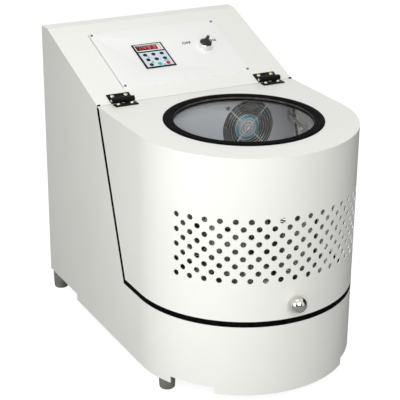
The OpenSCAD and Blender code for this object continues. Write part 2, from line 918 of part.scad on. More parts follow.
module fan_frame() {
    hub = fan_hub / 2 + 1;
    arm = 6;
    color("dimgray") difference() {
        union() {
            difference() {
                block(fan_right - fan_size / 2, fan_right + fan_size / 2, wall_back, fan_back,
                    fan_height - fan_size / 2, fan_height + fan_size / 2);
                rod_y(fan_right, wall_back - cut, fan_back + cut, fan_height, fan_bore / 2);
            }
            rod_y(fan_right, fan_back - fan_spine, fan_back, fan_height, hub);
            for (turn = [0, 90])
                translate([fan_right, axis_y + fan_back - fan_spine, fan_height])
                    rotate([-90, 0, 0]) rotate(turn) translate([-fan_bore / 2 - cut, -arm / 2, 0])
                        cube([fan_bore + 2 * cut, arm, fan_spine]);
        }
        rod_y(fan_right, fan_back - fan_spine - cut, fan_back + cut, fan_height, fan_shaft / 2 + run_gap);
        fan_screw_places(wall_back - cut)
            cylinder(d = fan_screw + 2 * screw_gap, h = fan_depth + 2 * cut);
    }
}

module fan_rotor() {
    start = wall_back + 2;
    end = fan_back - fan_spine - 2;
    depth = end - start;
    blade_tilt = 40;
    blade_chord = 30;
    blade_thickness = 1.8;
    color("black") {
        rod_y(fan_right, start, end, fan_height, fan_hub / 2);
        rod_y(fan_right, end - 1, fan_back - 1, fan_height, fan_shaft / 2);
        intersection() {
            difference() {
                rod_y(fan_right, start, end, fan_height, rotor_radius);
                rod_y(fan_right, start - cut, end + cut, fan_height, fan_hub / 2 - 2);
            }
            for (i = [0 : fan_blades - 1])
                translate([fan_right, axis_y + start + depth / 2, fan_height])
                    rotate([0, i * 360 / fan_blades, 0]) rotate([0, 0, blade_tilt])
                        translate([-blade_thickness / 2, -blade_chord / 2, 0])
                            cube([blade_thickness, blade_chord, rotor_radius + cut]);
        }
    }
}

module wire_ring(radius, wire) {
    rotate_extrude() translate([radius, 0]) circle(d = wire, $fn = 16);
}

module fan_guard() {
    spoke_y = wall_reach - guard_wire / 2;
    ring_y = spoke_y - 0.8 * guard_wire;
    diagonal = fan_hole_spread / sqrt(2) - loop_radius + guard_wire / 4;
    color("silver") {
        for (i = [1 : guard_rings])
            translate([fan_right, axis_y + ring_y, fan_height]) rotate([-90, 0, 0])
                wire_ring(i * guard_pitch, guard_wire);
        for (turn = [45, 135])
            translate([fan_right, axis_y + spoke_y, fan_height]) rotate([0, turn, 0])
                translate([-diagonal, 0, 0]) rotate([0, 90, 0])
                    cylinder(d = guard_wire, h = 2 * diagonal, $fn = 16);
        fan_screw_places(spoke_y) wire_ring(loop_radius, guard_wire);
    }
}

// Hood

module lid_shell() {
    rear = hinge_reach - lid_gap / 2;
    low = seal_height + half_band;
    color("white") difference() {
        union() {
            difference() {
                intersection() {
                    prism(0, 0, low, lid_height);
                    side_slab([
                        [far_front, lid_height], [rear, lid_height], [rear, tab_z],
                        [mouth_y(half_band, tab_z), tab_z], [mouth_y(half_band, low), low],
                        [far_front, low]
                    ]);
                }
                prism(sheet, -cut, low - cut, lid_height - sheet);
            }
            mouth_ring(half_band, half_band + sheet, tab_z - tab_depth);
            spring_stud(half_width - sheet, spring_lid_reach, spring_lid_height);
        }
        rod_z(0, 0, lid_height - sheet - cut, lid_height + cut, sheet_hole);
        at_front() {
            vent_holes();
            rod_y(0, -half_width - cut, -half_width + sheet + cut, knob_height, knob_stud / 2 + screw_gap);
        }
        lid_leaf_places(lid_height - sheet - cut)
            cylinder(d = leaf_screw + 2 * screw_gap, h = sheet + 2 * cut);
    }
}

module vent_holes() {
    for (row = [0 : vent_rows - 1]) {
        count = vent_columns - row % 2;
        for (i = [0 : count - 1])
            translate([0, axis_y, vent_top - row * vent_row_step])
                rotate([90, 0, (i - (count - 1) / 2) * vent_pitch])
                    translate([0, 0, half_width - 3 * sheet])
                        cylinder(d = vent_diameter, h = 5 * sheet, $fn = 48);
    }
}

module lid_leaf_places(z) {
    for (side = [-1, 1])
        for (end = [-1, 1])
            translate([side * hinge_spread + end * leaf_screw_spread / 2,
                axis_y + pin_y - lower_leaf + lower_screw_edge, z]) children();
}

// The rubber ring grips the glass inside and the edge of the hood's top outside
glass_radius = window_radius + glass_bite;
sheet_hole = glass_radius + 4;
ring_outer = window_radius + window_ring;
ring_lip = 3;
glass_top = lid_height - ring_lip;
glass_bottom = glass_top - glass_thickness;

module window_seal() {
    low_lip = lid_height - sheet - ring_lip;
    color("black") translate([0, axis_y, 0]) rotate_extrude($fn = 180) polygon([
        [window_radius, glass_top], [window_radius + 1, lid_height],
        [window_radius + 5, lid_height + ring_rise], [ring_outer - 3, lid_height + ring_rise],
        [ring_outer, lid_height + ring_rise / 3], [ring_outer, lid_height],
        [sheet_hole, lid_height], [sheet_hole, lid_height - sheet],
        [ring_outer - 3, lid_height - sheet], [ring_outer - 3, low_lip],
        [sheet_hole, low_lip], [glass_radius + 2, glass_bottom - ring_lip],
        [window_radius, glass_bottom - ring_lip], [window_radius, glass_bottom],
        [glass_radius, glass_bottom], [glass_radius, glass_top]
    ]);
}

module window_glass() {
    color("lightblue", 0.4) translate([0, axis_y, glass_bottom])
        cylinder(r = glass_radius, h = glass_thickness, $fn = 180);
}

module lid_knob() {
    washer = 1.5;
    nut = 6;
    stud_end = 3;
    wall_front = -half_width;
    color("silver") {
        at_front() {
            translate([0, axis_y - half_width - knob_offset, knob_height]) sphere(d = knob_diameter);
            rod_y(0, wall_front - knob_offset, wall_front - washer, knob_height, knob_neck / 2);
            rod_y(0, wall_front - washer, wall_front + sheet + nut + stud_end, knob_height, knob_stud / 2);
        }
        difference() {
            at_front() rod_y(0, wall_front - washer, wall_front + washer, knob_height, knob_neck / 2 + 2);
            rod_z(0, 0, 0, lid_height, half_width);
        }
        intersection() {
            at_front() rod_y(0, wall_front, wall_front + sheet + nut, knob_height, knob_stud);
            rod_z(0, 0, 0, lid_height, half_width - sheet);
        }
    }
}

// Hinges: the cabinet leaves carry the pins and knuckles 0, 2 and 4, the hood leaves 1 and 3

module knuckle(side, i, bore) {
    start = side * hinge_spread - hinge_width / 2 + i * knuckle_width;
    rod_x(start + move_gap / 2, start + knuckle_width - move_gap / 2, pin_y, pin_z, bore);
}

module hinge_leaves_cabinet() {
    color("black") for (side = [-1, 1]) {
        difference() {
            on_slope(side * hinge_spread, 0) translate([-hinge_width / 2, upper_leaf_start, 0])
                cube([hinge_width, upper_leaf + 2 - upper_leaf_start, leaf_thickness]);
            cabinet_leaf_places() cylinder(d = leaf_screw + 2 * screw_gap, h = 3 * sheet, center = true);
        }
        for (i = [0, 2, 4]) {
            knuckle(side, i, knuckle_radius);
            on_slope(side * hinge_spread - hinge_width / 2 + i * knuckle_width + move_gap, 0)
                translate([0, arm_start, move_gap / 2])
                    cube([knuckle_width - 2 * move_gap, leaf_start, leaf_thickness - move_gap]);
        }
        rod_x(side * hinge_spread - hinge_width / 2 - pin_end,
            side * hinge_spread + hinge_width / 2 + pin_end, pin_y, pin_z, hinge_pin / 2);
    }
}

module hinge_leaves_lid() {
    color("black") for (side = [-1, 1]) difference() {
        union() {
            block(side * hinge_spread - hinge_width / 2, side * hinge_spread + hinge_width / 2,
                pin_y - lower_leaf, pin_y - leaf_start, lid_height, lid_height + leaf_thickness);
            for (i = [1, 3]) {
                start = side * hinge_spread - hinge_width / 2 + i * knuckle_width;
                knuckle(side, i, knuckle_radius);
                block(start + move_gap / 2, start + knuckle_width - move_gap / 2,
                    pin_y - leaf_start - cut, pin_y - 1, lid_height, lid_height + leaf_thickness);
            }
        }
        rod_x(-half_width, half_width, pin_y, pin_z, hinge_pin / 2 + run_gap);
        lid_leaf_places(lid_height - cut) cylinder(d = leaf_screw + 2 * screw_gap, h = 3 * sheet);
    }
}

// A pan head on top of Z = 0 with its shank below
module screw(diameter, head, length) {
    cylinder(d1 = head, d2 = 0.8 * head, h = screw_head);
    translate([0, 0, -length]) cylinder(d = diameter, h = length);
}

module hinge_screws_lid() {
    length = leaf_thickness + sheet + 4;
    color("goldenrod") lid_leaf_places(lid_height + leaf_thickness)
        screw(leaf_screw, leaf_screw_head, length);
}

module fasteners() {
    color("goldenrod") {
        cabinet_leaf_places() translate([0, 0, leaf_thickness])
            screw(leaf_screw, leaf_screw_head, leaf_thickness + sheet + 4);
        plate_screw_places() translate([0, 0, plate_thickness])
            screw(plate_screw, 2 * plate_screw, plate_thickness + sheet + 3);
        rear_screw_places() translate([0, 0, -sheet]) rotate([180, 0, 0])
            screw(plate_screw, 2.5 * plate_screw, 2 * sheet + 4);
        fan_screw_places(wall_reach - guard_wire) rotate([180, 0, 0])
            screw(fan_screw, 2 * (loop_radius + guard_wire / 2), guard_wire + sheet + fan_depth);
    }
}

// Gas spring

module gas_cylinder() {
    start = spring_eye / 2 + 6;
    color("black") translate([spring_spread, axis_y + spring_body_reach, spring_body_height])
        rotate([spring_angle, 0, 0]) difference() {
            union() {
                rotate([90, 0, 0]) translate([0, 0, spring_eye / 4])
                    cylinder(d = spring_tube, h = spring_tube_length - spring_eye / 4);
                rotate([0, 90, 0]) cylinder(d = spring_eye, h = eye_width, center = true);
            }
            rotate([90, 0, 0]) translate([0, 0, start])
                cylinder(d = spring_bore, h = spring_tube_length);
            rotate([0, 90, 0]) cylinder(d = spring_stud + 2 * run_gap, h = 2 * eye_width, center = true);
        }
}

module gas_rod() {
    color("silver") translate([spring_spread, axis_y + spring_lid_reach, spring_lid_height])
        rotate([spring_angle, 0, 0]) difference() {
            union() {
                rotate([-90, 0, 0]) cylinder(d = spring_rod, h = spring_rod_length);
                rotate([-90, 0, 0]) cylinder(d = spring_rod + 2.4, h = spring_eye);
                rotate([0, 90, 0]) cylinder(d = spring_eye, h = eye_width, center = true);
            }
            rotate([0, 90, 0]) cylinder(d = spring_stud + 2 * run_gap, h = 2 * eye_width, center = true);
        }
}

// Drive

function involute(angle) = tan(angle) * 180 / PI - angle;
function flank(teeth, radius) =
    let (pitch_radius = gear_module * teeth / 2, base = pitch_radius * cos(pressure_angle))
    90 / teeth - gear_play / 2 / pitch_radius * 90 / PI
    + involute(pressure_angle) - involute(acos(min(1, base / radius)));
function polar(radius, angle) = [radius * cos(angle), radius * sin(angle)];
function tooth(teeth, turn) =
    let (
        pitch_radius = gear_module * teeth / 2,
        root = pitch_radius - 1.25 * gear_module,
        start = max(root, pitch_radius * cos(pressure_angle)),
        tip = pitch_radius + gear_module,
        radii = [for (i = [0 : flank_steps]) start + (tip - start) * i / flank_steps]
    )
    concat(
        [polar(root, turn - flank(teeth, start))],
        [for (r = radii) polar(r, turn - flank(teeth, r))],
        [for (i = [flank_steps : -1 : 0]) polar(radii[i], turn + flank(teeth, radii[i]))],
        [polar(root, turn + flank(teeth, start))]
    );

module gear(teeth, width) {
    linear_extrude(width) polygon([
        for (i = [0 : teeth - 1]) each tooth(teeth, i * 360 / teeth)
    ]);
}

module bearing_housing() {
    color("slategray") difference() {
        union() {
            rod_z(0, 0, housing_bottom, floor_top, housing_diameter / 2);
            rod_z(0, 0, floor_top, floor_top + flange_thickness, flange_radius);
            rod_z(0, 0, floor_top, housing_top, boss_radius);
        }
        rod_z(0, 0, housing_bottom - cut, housing_top + cut, shaft_diameter / 2 + 5);
        rod_z(0, 0, housing_bottom - cut, housing_bottom + bearing_width, bearing_outer / 2);
        rod_z(0, 0, housing_top - bearing_width, housing_top + cut, bearing_outer / 2);
    }
}

module main_bearings() {
    inner = shaft_diameter / 2 + run_gap;
    color("silver") {
        ring_z(0, housing_bottom, housing_bottom + bearing_width, bearing_outer / 2, inner);
        ring_z(0, housing_top - bearing_width, housing_top, bearing_outer / 2, inner);
    }
}

module sun_gear() {
    color("gray") difference() {
        translate([0, axis_y, sun_bottom]) rotate(station_start) gear(sun_teeth, sun_width);
        rod_z(0, 0, sun_bottom - cut, sun_top + cut, sun_bore / 2);
    }
}

module station(k) {
    translate([0, axis_y, 0]) rotate(station_start + (k - 1) * 360 / station_count)
        translate([orbit, 0, 0]) children();
}

module turntable() {
    color("silver") difference() {
        union() {
            rod_z(0, 0, table_bottom, table_top, table_radius);
            for (k = [1 : station_count])
                station(k) translate([0, 0, table_bottom])
                    cylinder(d = jar_boss, h = boss_top - table_bottom);
        }
        rod_z(0, 0, table_bottom - cut, table_top + cut, shaft_seat / 2);
        for (k = [1 : station_count])
            station(k) translate([0, 0, table_bottom - cut])
                cylinder(d = jar_bearing, h = boss_top - table_bottom + 2 * cut);
    }
}

module planet_bearings() {
    color("gray") for (k = [1 : station_count])
        station(k) translate([0, 0, table_bottom]) difference() {
            cylinder(d = jar_bearing, h = boss_top - table_bottom);
            translate([0, 0, -cut])
                cylinder(r = spindle_diameter / 2 + run_gap, h = boss_top - table_bottom + 2 * cut);
        }
}

module main_shaft() {
    nut_height = 8;
    color("gray") {
        rod_z(0, 0, pulley_height - shaft_end, table_bottom, shaft_diameter / 2);
        rod_z(0, 0, table_bottom, table_top, shaft_seat / 2);
        translate([0, axis_y, table_top]) cylinder(d = 1.6 * shaft_seat, h = nut_height, $fn = 6);
    }
}

// A grooved pulley, with a belt's room in every groove
module pulley(radius, bore) {
    groove = belt_width + 2 * move_gap;
    difference() {
        cylinder(r = radius, h = pulley_width);
        translate([0, 0, -cut]) cylinder(r = bore, h = pulley_width + 2 * cut);
        for (i = [0 : belt_count - 1])
            rotate_extrude() translate([0, belt_middle(i)]) polygon([
                [radius - groove_depth, -groove / 2], [radius + cut, -groove / 2 - 1],
                [radius + cut, groove / 2 + 1], [radius - groove_depth, groove / 2]
            ]);
    }
}

function belt_middle(i) = pulley_width / 2 + (i - (belt_count - 1) / 2) * belt_step;

module driven_pulley() {
    color("dimgray") translate([0, axis_y, pulley_height]) pulley(driven_radius, shaft_diameter / 2);
}

module motor_rotor() {
    color("gray") {
        translate([0, axis_y + motor_reach, pulley_height]) pulley(drive_radius, motor_shaft / 2);
        rod_z(0, motor_reach, pulley_height - shaft_end, motor_flange_top + motor_length / 2,
            motor_shaft / 2);
    }
}

// The loop round both pulleys, whose outside is shift from their rims
module belt_loop(shift) {
    large = driven_radius + shift;
    small = drive_radius + shift;
    lean = asin((large - small) / motor_reach);
    circle(r = large);
    translate([0, motor_reach]) circle(r = small);
    polygon([
        polar(large, lean), [small * cos(lean), motor_reach + small * sin(lean)],
        [-small * cos(lean), motor_reach + small * sin(lean)], polar(large, 180 - lean)
    ]);
}

module drive_belts() {
    color("black") for (i = [0 : belt_count - 1])
        translate([0, axis_y, pulley_height + belt_middle(i) - belt_width / 2])
            linear_extrude(belt_width) difference() {
                belt_loop(-belt_proud);
                belt_loop(-belt_proud - belt_thickness);
            }
}

module motor_housing() {
    fin = 3;
    frame_radius = motor_radius - 8;
    color("steelblue") difference() {
        union() {
            rod_z(0, motor_reach, motor_plate_top, motor_flange_top, motor_flange);
            translate([0, axis_y + motor_reach, motor_flange_top]) linear_extrude(motor_length) {
                circle(r = frame_radius);
                for (i = [0 : motor_fins - 1])
                    rotate(i * 360 / motor_fins) translate([0, -fin / 2]) square([motor_radius, fin]);
            }
            rod_z(0, motor_reach, motor_top, motor_top + cowl_length, motor_radius);
        }
        rod_z(0, motor_reach, motor_plate_top - cut, motor_flange_top + motor_length / 2 + cut,
            motor_shaft / 2 + run_gap);
    }
}

// Jar stations

module jar_holder(k) {
    color("silver") station(k) {
        holder_frame();
        spindle();
        clamp_bar();
    }
}

module holder_frame() {
    window_bottom = bar_bottom - move_gap;
    difference() {
        union() {
            translate([0, 0, holder_bottom]) cylinder(r = post_end, h = holder_base);
            translate([0, 0, jar_bottom]) cylinder(r = cup_radius + cup_wall, h = holder_cup);
            for (turn = [0, 180])
                rotate(turn) translate([post_start, -post_width / 2, holder_bottom])
                    cube([post_thickness, post_width, post_top - holder_bottom]);
        }
        translate([0, 0, jar_bottom]) cylinder(r = cup_radius, h = holder_cup + cut);
        for (turn = [0, 180])
            rotate(turn) translate([post_start - cut, -bar_width / 2 - move_gap, window_bottom])
                cube([post_thickness + 2 * cut, post_width, bar_top - window_bottom]);
    }
}

module spindle() {
    collar = 17;
    flange = 32;
    spindle_end = 1.5;
    rotate(180 + 180 / planet_teeth) translate([0, 0, planet_bottom]) gear(planet_teeth, planet_width);
    translate([0, 0, planet_bottom - spindle_end])
        cylinder(d = spindle_diameter, h = holder_bottom - planet_bottom + spindle_end);
    translate([0, 0, planet_top - cut]) cylinder(r = collar, h = table_bottom - move_gap - planet_top + cut);
    translate([0, 0, boss_top + 1]) cylinder(r = flange, h = spindle_flange);
}

module clamp_bar() {
    difference() {
        union() {
            translate([-post_end, -bar_width / 2, bar_bottom]) cube([2 * post_end, bar_width, bar_height]);
            translate([0, 0, bar_boss_bottom])
                cylinder(r = bar_boss_radius, h = bar_boss_top - bar_boss_bottom);
        }
        translate([0, 0, bar_boss_bottom - cut])
            cylinder(d = clamp_screw_diameter + 2 * screw_gap, h = bar_boss_top - bar_boss_bottom + 2 * cut);
    }
}

module grinding_jar(k) {
    radius = jar_diameter / 2;
    spigot = 5;
    lid_seat = 0.1;
    color("lightgray") station(k) {
        difference() {
            translate([0, 0, jar_bottom]) cylinder(r = radius, h = jar_height);
            translate([0, 0, jar_bottom + jar_wall]) cylinder(r = radius - jar_wall, h = jar_height);
        }
        translate([0, 0, jar_lid_bottom + lid_seat]) cylinder(r = radius + 1, h = jar_lid - lid_seat);
        translate([0, 0, jar_lid_bottom - spigot])
            cylinder(r = radius - jar_wall - move_gap, h = spigot + jar_lid / 2);
        translate([0, 0, jar_lid_bottom + jar_lid - cut])
            cylinder(d = pad_diameter + 4, h = lid_boss_rise + cut);
    }
}

module clamp_pad(k) {
    color("dimgray") station(k) difference() {
        translate([0, 0, pad_bottom]) cylinder(d = pad_diameter, h = pad_thickness);
        translate([0, 0, pad_top - tip_depth - move_gap])
            cylinder(r = clamp_tip / 2 + run_gap, h = tip_depth + move_gap + cut);
    }
}

module clamp_screw(k) {
    lobes = 6;
    lobe_radius = star_diameter / 6;
    color("black") station(k) {
        translate([0, 0, pad_top - tip_depth]) cylinder(d = clamp_tip, h = tip_depth + cut);
        translate([0, 0, pad_top + move_gap])
            cylinder(d = clamp_screw_diameter, h = star_bottom + cut - pad_top - move_gap);
        difference() {
            translate([0, 0, star_bottom]) cylinder(d = star_diameter, h = star_thickness);
            for (i = [0 : lobes - 1])
                rotate(i * 360 / lobes) translate([star_diameter / 2 + lobe_radius / 3, 0, star_bottom - cut])
                    cylinder(r = lobe_radius, h = star_thickness + 2 * cut);
        }
    }
}

cabinet_shell();
rear_panel();
base_frame();
feet();
chamber_wall();
chamber_floor();
rim_seal();
control_plate();
inverter();
switch_body();
fan_frame();
fan_guard();
motor_housing();
bearing_housing();
main_bearings();
sun_gear();
drive_belts();
hinge_leaves_cabinet();
fasteners();
power_inlet();
lid_shell();
window_glass();
window_seal();
lid_knob();
hinge_leaves_lid();
hinge_screws_lid();
gas_cylinder();
gas_rod();
fan_rotor();
selector_knob();
motor_rotor();
turntable();
main_shaft();
driven_pulley();
planet_bearings();
key(0);  // key_1
key(1);  // key_2
key(2);  // key_3
key(3);  // key_4
key(4);  // key_5
key(5);  // key_6
key(6);  // key_7
key(7);  // key_8
key(8);  // key_9
jar_holder(1);  // jar_holder_1
jar_holder(2);  // jar_holder_2
jar_holder(3);  // jar_holder_3
jar_holder(4);  // jar_holder_4
grinding_jar(1);  // grinding_jar_1
grinding_jar(2);  // grinding_jar_2
grinding_jar(3);  // grinding_jar_3
grinding_jar(4);  // grinding_jar_4
clamp_pad(1);  // clamp_pad_1
clamp_pad(2);  // clamp_pad_2
clamp_pad(3);  // clamp_pad_3
clamp_pad(4);  // clamp_pad_4
clamp_screw(1);  // clamp_screw_1
clamp_screw(2);  // clamp_screw_2
clamp_screw(3);  // clamp_screw_3
clamp_screw(4);  // clamp_screw_4
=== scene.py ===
import math
import bmesh
import bpy
from mathutils import Matrix, Vector


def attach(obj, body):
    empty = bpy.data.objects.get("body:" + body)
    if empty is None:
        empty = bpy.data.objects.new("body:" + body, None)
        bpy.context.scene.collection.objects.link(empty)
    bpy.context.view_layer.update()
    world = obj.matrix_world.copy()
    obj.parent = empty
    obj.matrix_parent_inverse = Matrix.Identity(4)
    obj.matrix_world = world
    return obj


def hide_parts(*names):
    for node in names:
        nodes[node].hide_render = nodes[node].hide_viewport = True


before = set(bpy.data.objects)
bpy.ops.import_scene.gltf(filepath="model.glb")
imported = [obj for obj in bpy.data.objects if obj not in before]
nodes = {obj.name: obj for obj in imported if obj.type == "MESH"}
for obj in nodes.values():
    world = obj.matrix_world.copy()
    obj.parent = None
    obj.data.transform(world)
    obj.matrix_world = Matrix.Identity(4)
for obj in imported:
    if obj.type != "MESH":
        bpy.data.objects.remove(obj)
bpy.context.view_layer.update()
scene = bpy.context.scene
print("frame loaded,", len(nodes), "nodes")

# Sizes here are in mm, in the CAD frame; addPiece brings them to metres
mill = {
    "axisY": -119.8515,  # the turntable axis
    "frontTurn": -2.3,  # the knob and the vent holes sit this far round from the front
    "halfWidth": 235,
    "hingeReach": 202,
    "lidHeight": 537,
    "slope": math.atan2(100, 269),
    "stations": [45, 135, 225, 315],
    "orbit": 112.5,
}
corners = [(-1, -1), (-1, 1), (1, -1), (1, 1)]
weld = 0.002  # vertices nearer than this become one


def at(x, y, z):
    return Matrix.Translation((x, y, z))


def spot(x, y, z):  # y from the turntable axis
    return at(x, mill["axisY"] + y, z)


def onSlope(x, s, h=0):  # s up the slope from the hinge line, h out of it
    a = mill["slope"]
    y = mill["hingeReach"] + s * math.cos(a)
    z = mill["lidHeight"] + s * math.sin(a)
    return spot(x, y, z) @ Matrix.Rotation(a, 4, "X") @ at(0, 0, h)


def turn(angle, axis):
    return Matrix.Rotation(math.radians(angle), 4, axis)


def toBack(x, y, z):  # local Z looks along +Y
    return spot(x, y, z) @ turn(-90, "X")


def toFront(x, y, z):  # local Z looks along -Y
    return spot(x, y, z) @ turn(90, "X")


def station(k):
    angle, r = mill["stations"][k], mill["orbit"]
    a = math.radians(angle)
    return spot(r * math.cos(a), r * math.sin(a), 0) @ turn(angle, "Z")


# Mesh tools


def newVerts(made):
    return [g for g in made["geom"] if isinstance(g, bmesh.types.BMVert)]


def newEdges(made):
    return [g for g in made["geom"] if isinstance(g, bmesh.types.BMEdge)]


def edgesAmong(bm, verts):
    return [e for e in bm.edges if e.verts[0] in verts and e.verts[1] in verts]


def loopOf(bm, count, radius=1, filled=False):
    return bmesh.ops.create_circle(bm, cap_ends=filled, radius=radius, segments=count)["verts"]


def roundEdges(bm, edges, width, segments=2):
    bmesh.ops.bevel(
        bm, geom=list(edges), offset=width, offset_type="OFFSET", segments=segments,
        profile=0.5, affect="EDGES", clamp_overlap=True, material=-1,
    )


def sharpEdges(bm, angle, verts=None):
    limit = math.radians(angle)
    return [
        e for e in bm.edges
        if len(e.link_faces) == 2 and e.calc_face_angle() > limit
        and (verts is None or (e.verts[0] in verts and e.verts[1] in verts))
    ]


def raised(bm, faces, height):  # gives the vertices of the new top
    top = newVerts(bmesh.ops.extrude_face_region(bm, geom=faces))
    bmesh.ops.translate(bm, vec=(0, 0, height), verts=top)
    return top


# A profile of radius and height, turned round Z
def turned(bm, profile, place=None, steps=48, closed=False):
    old = set(bm.verts)
    verts = [bm.verts.new((r, 0, z)) for r, z in profile]
    edges = [bm.edges.new(pair) for pair in zip(verts, verts[1:])]
    if closed:
        edges.append(bm.edges.new((verts[-1], verts[0])))
    bmesh.ops.spin(
        bm, geom=verts + edges, cent=(0, 0, 0), axis=(0, 0, 1),
        angle=2 * math.pi, steps=steps, use_merge=True,
    )
    bmesh.ops.remove_doubles(bm, verts=[v for v in bm.verts if v not in old], dist=weld)
    if place is not None:
        bmesh.ops.transform(bm, matrix=place, verts=[v for v in bm.verts if v not in old])


def hoop(bm, radius, wire, place, steps, sides=10):
    angles = [2 * math.pi * i / sides for i in range(sides)]
    circle = [(radius + wire * math.cos(a), wire * math.sin(a)) for a in angles]
    turned(bm, circle, place, steps, closed=True)


def box(bm, size, place, edge=0):
    made = bmesh.ops.create_cube(bm, size=1, matrix=place @ Matrix.Diagonal((*size, 1)))
    if edge:
        roundEdges(bm, sharpEdges(bm, 30, set(made["verts"])), edge)
    return made["verts"]


def bar(bm, radius, length, place, sides=6, edge=0.6):  # a nut, or a straight wire with more sides
    made = bmesh.ops.create_cone(
        bm, cap_ends=True, cap_tris=False, segments=sides,
        radius1=radius, radius2=radius, depth=length, matrix=place,
    )
    roundEdges(bm, sharpEdges(bm, 40, set(made["verts"])), edge)


def softened(node, width, segments=2, sharp=38, flat=0.6):  # a CAD shape with its edges rounded
    bm = bmesh.new()
    bm.from_mesh(nodes[node].data)
    bmesh.ops.scale(bm, vec=(1000, 1000, 1000), verts=bm.verts)
    bmesh.ops.remove_doubles(bm, verts=bm.verts, dist=weld)
    bmesh.ops.dissolve_limit(
        bm, angle_limit=math.radians(flat), use_dissolve_boundaries=False,
        verts=bm.verts, edges=bm.edges,
    )
    roundEdges(bm, sharpEdges(bm, sharp), width, segments)
    return bm


def newObject(name, data):
    made = bpy.data.objects.new(name, data)
    scene.collection.objects.link(made)
    return made


def addPiece(bm, name, material, body, stands=(), place=None, angle=38):
    if place is not None:
        bmesh.ops.transform(bm, matrix=place, verts=bm.verts)
    bmesh.ops.remove_doubles(bm, verts=bm.verts, dist=weld)
    bmesh.ops.recalc_face_normals(bm, faces=bm.faces)
    bmesh.ops.scale(bm, vec=(0.001, 0.001, 0.001), verts=bm.verts)
    for face in bm.faces:
        face.smooth = True
    mesh = bpy.data.meshes.new(name)
    bm.to_mesh(mesh)
    bm.free()
    mesh.set_sharp_from_angle(angle=math.radians(angle))
    for one in material if isinstance(material, list) else [material]:
        mesh.materials.append(one)
    piece = newObject(name, mesh)
    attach(piece, body)
    if stands:
        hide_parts(*stands)


def softPiece(node, width, name, material, body):
    addPiece(softened(node, width), name, material, body, [node])


# Materials


class Finish:  # a material's nodes, with short calls to add them
    def __init__(self, name):
        self.material = bpy.data.materials.new(name)
        self.material.use_nodes = True
        self.tree = self.material.node_tree
        self.shader = self.tree.nodes["Principled BSDF"]
        self.coords = self.add("TexCoord").outputs["Object"]

    def add(self, kind, inputs=None, **settings):
        node = self.tree.nodes.new("ShaderNode" + kind)
        for key, value in settings.items():
            setattr(node, key, value)
        for key, value in (inputs or {}).items():
            self.feed(node.inputs[key], value)
        return node

    def feed(self, socket, value):
        if isinstance(value, bpy.types.NodeSocket):
            self.tree.links.new(value, socket)
        else:
            socket.default_value = value

    def noise(self, scale, detail=3.0, stretch=(1, 1, 1), rough=0.55):
        place = self.add("Mapping", {"Vector": self.coords, "Scale": stretch})
        return self.add(
            "TexNoise",
            {"Vector": place.outputs[0], "Scale": scale, "Detail": detail, "Roughness": rough},
        ).outputs["Fac"]

    def between(self, value, low, high, inLow=0.3, inHigh=0.7):
        return self.add(
            "MapRange",
            {"Value": value, "From Min": inLow, "From Max": inHigh, "To Min": low, "To Max": high},
        ).outputs["Result"]

    def blend(self, value, first, second, inLow=0.3, inHigh=0.7):
        mix = self.add("Mix", data_type="RGBA")
        self.feed(mix.inputs["Factor"], self.between(value, 0, 1, inLow, inHigh))
        self.feed(mix.inputs["A"], (*first, 1))
        self.feed(mix.inputs["B"], (*second, 1))
        return mix.outputs["Result"]

    def sums(self, operation, first, second):
        return self.add("Math", {0: first, 1: second}, operation=operation).outputs[0]

    def offsets(self, x, y, z):  # X, Y and Z from a point given in mm
        centre = (-x / 1000, -y / 1000, -z / 1000)
        place = self.add("Mapping", {"Vector": self.coords, "Location": centre})
        return self.add("SeparateXYZ", {"Vector": place.outputs[0]}).outputs

    def reach(self, first, second):
        square = self.sums("ADD", self.sums("POWER", first, 2.0), self.sums("POWER", second, 2.0))
        return self.sums("SQRT", square, 0.0)

    def bump(self, height, strength, distance, normal=None):
        node = self.add("Bump", {"Height": height, "Strength": strength, "Distance": distance})
        if normal is not None:
            self.feed(node.inputs["Normal"], normal)
        return node.outputs["Normal"]

    def ends(self, **sockets):
        for key, value in sockets.items():
            words = "".join(" " + c if c.isupper() else c for c in key).strip().title()
            self.feed(self.shader.inputs[words.replace("Ior", "IOR")], value)
        return self.material


# Powder coat
def paint(name, colour, shade, rough=(0.3, 0.42), peel=0.05, grain=700, coat=0.15, gloss=0.5):
    f = Finish(name)
    broad = f.noise(4.0, detail=2.0)
    fine = f.noise(grain, detail=2.0)
    speck = f.noise(grain * 3, detail=1.0)
    normal = f.bump(fine, peel, 0.0006)
    return f.ends(
        baseColor=f.blend(broad, colour, shade), roughness=f.between(fine, *rough),
        normal=f.bump(speck, peel * 0.5, 0.0002, normal),
        coatWeight=coat, coatRoughness=0.2, specularIorLevel=gloss,
    )


# Moulded, from a spark-eroded mould
def plastic(name, colour, shade, rough=(0.35, 0.5), grain=1800, depth=0.12, gloss=0.3):
    f = Finish(name)
    broad = f.noise(25.0, detail=2.0)
    fine = f.noise(grain)
    return f.ends(
        baseColor=f.blend(broad, colour, shade), roughness=f.between(fine, *rough),
        normal=f.bump(fine, depth, 0.0003), specularIorLevel=gloss,
    )


def rubber(name, colour, shade, rough=(0.42, 0.6), gloss=0.1):
    f = Finish(name)
    dust = f.noise(60.0, detail=4.0)
    fine = f.noise(1200.0)
    return f.ends(
        baseColor=f.blend(dust, colour, shade, 0.45, 0.75),
        roughness=f.between(dust, *rough), normal=f.bump(fine, 0.18, 0.0004), specularIorLevel=gloss,
    )


def metal(name, colour, shade, rough, grain=400, depth=0.05, stretch=(1, 1, 1), bare=1.0):
    f = Finish(name)
    lines = f.noise(grain, stretch=stretch)
    stain = f.noise(40.0)
    return f.ends(
        metallic=bare, baseColor=f.blend(stain, colour, shade),
        roughness=f.between(lines, *rough), normal=f.bump(lines, depth, 0.0003),
    )


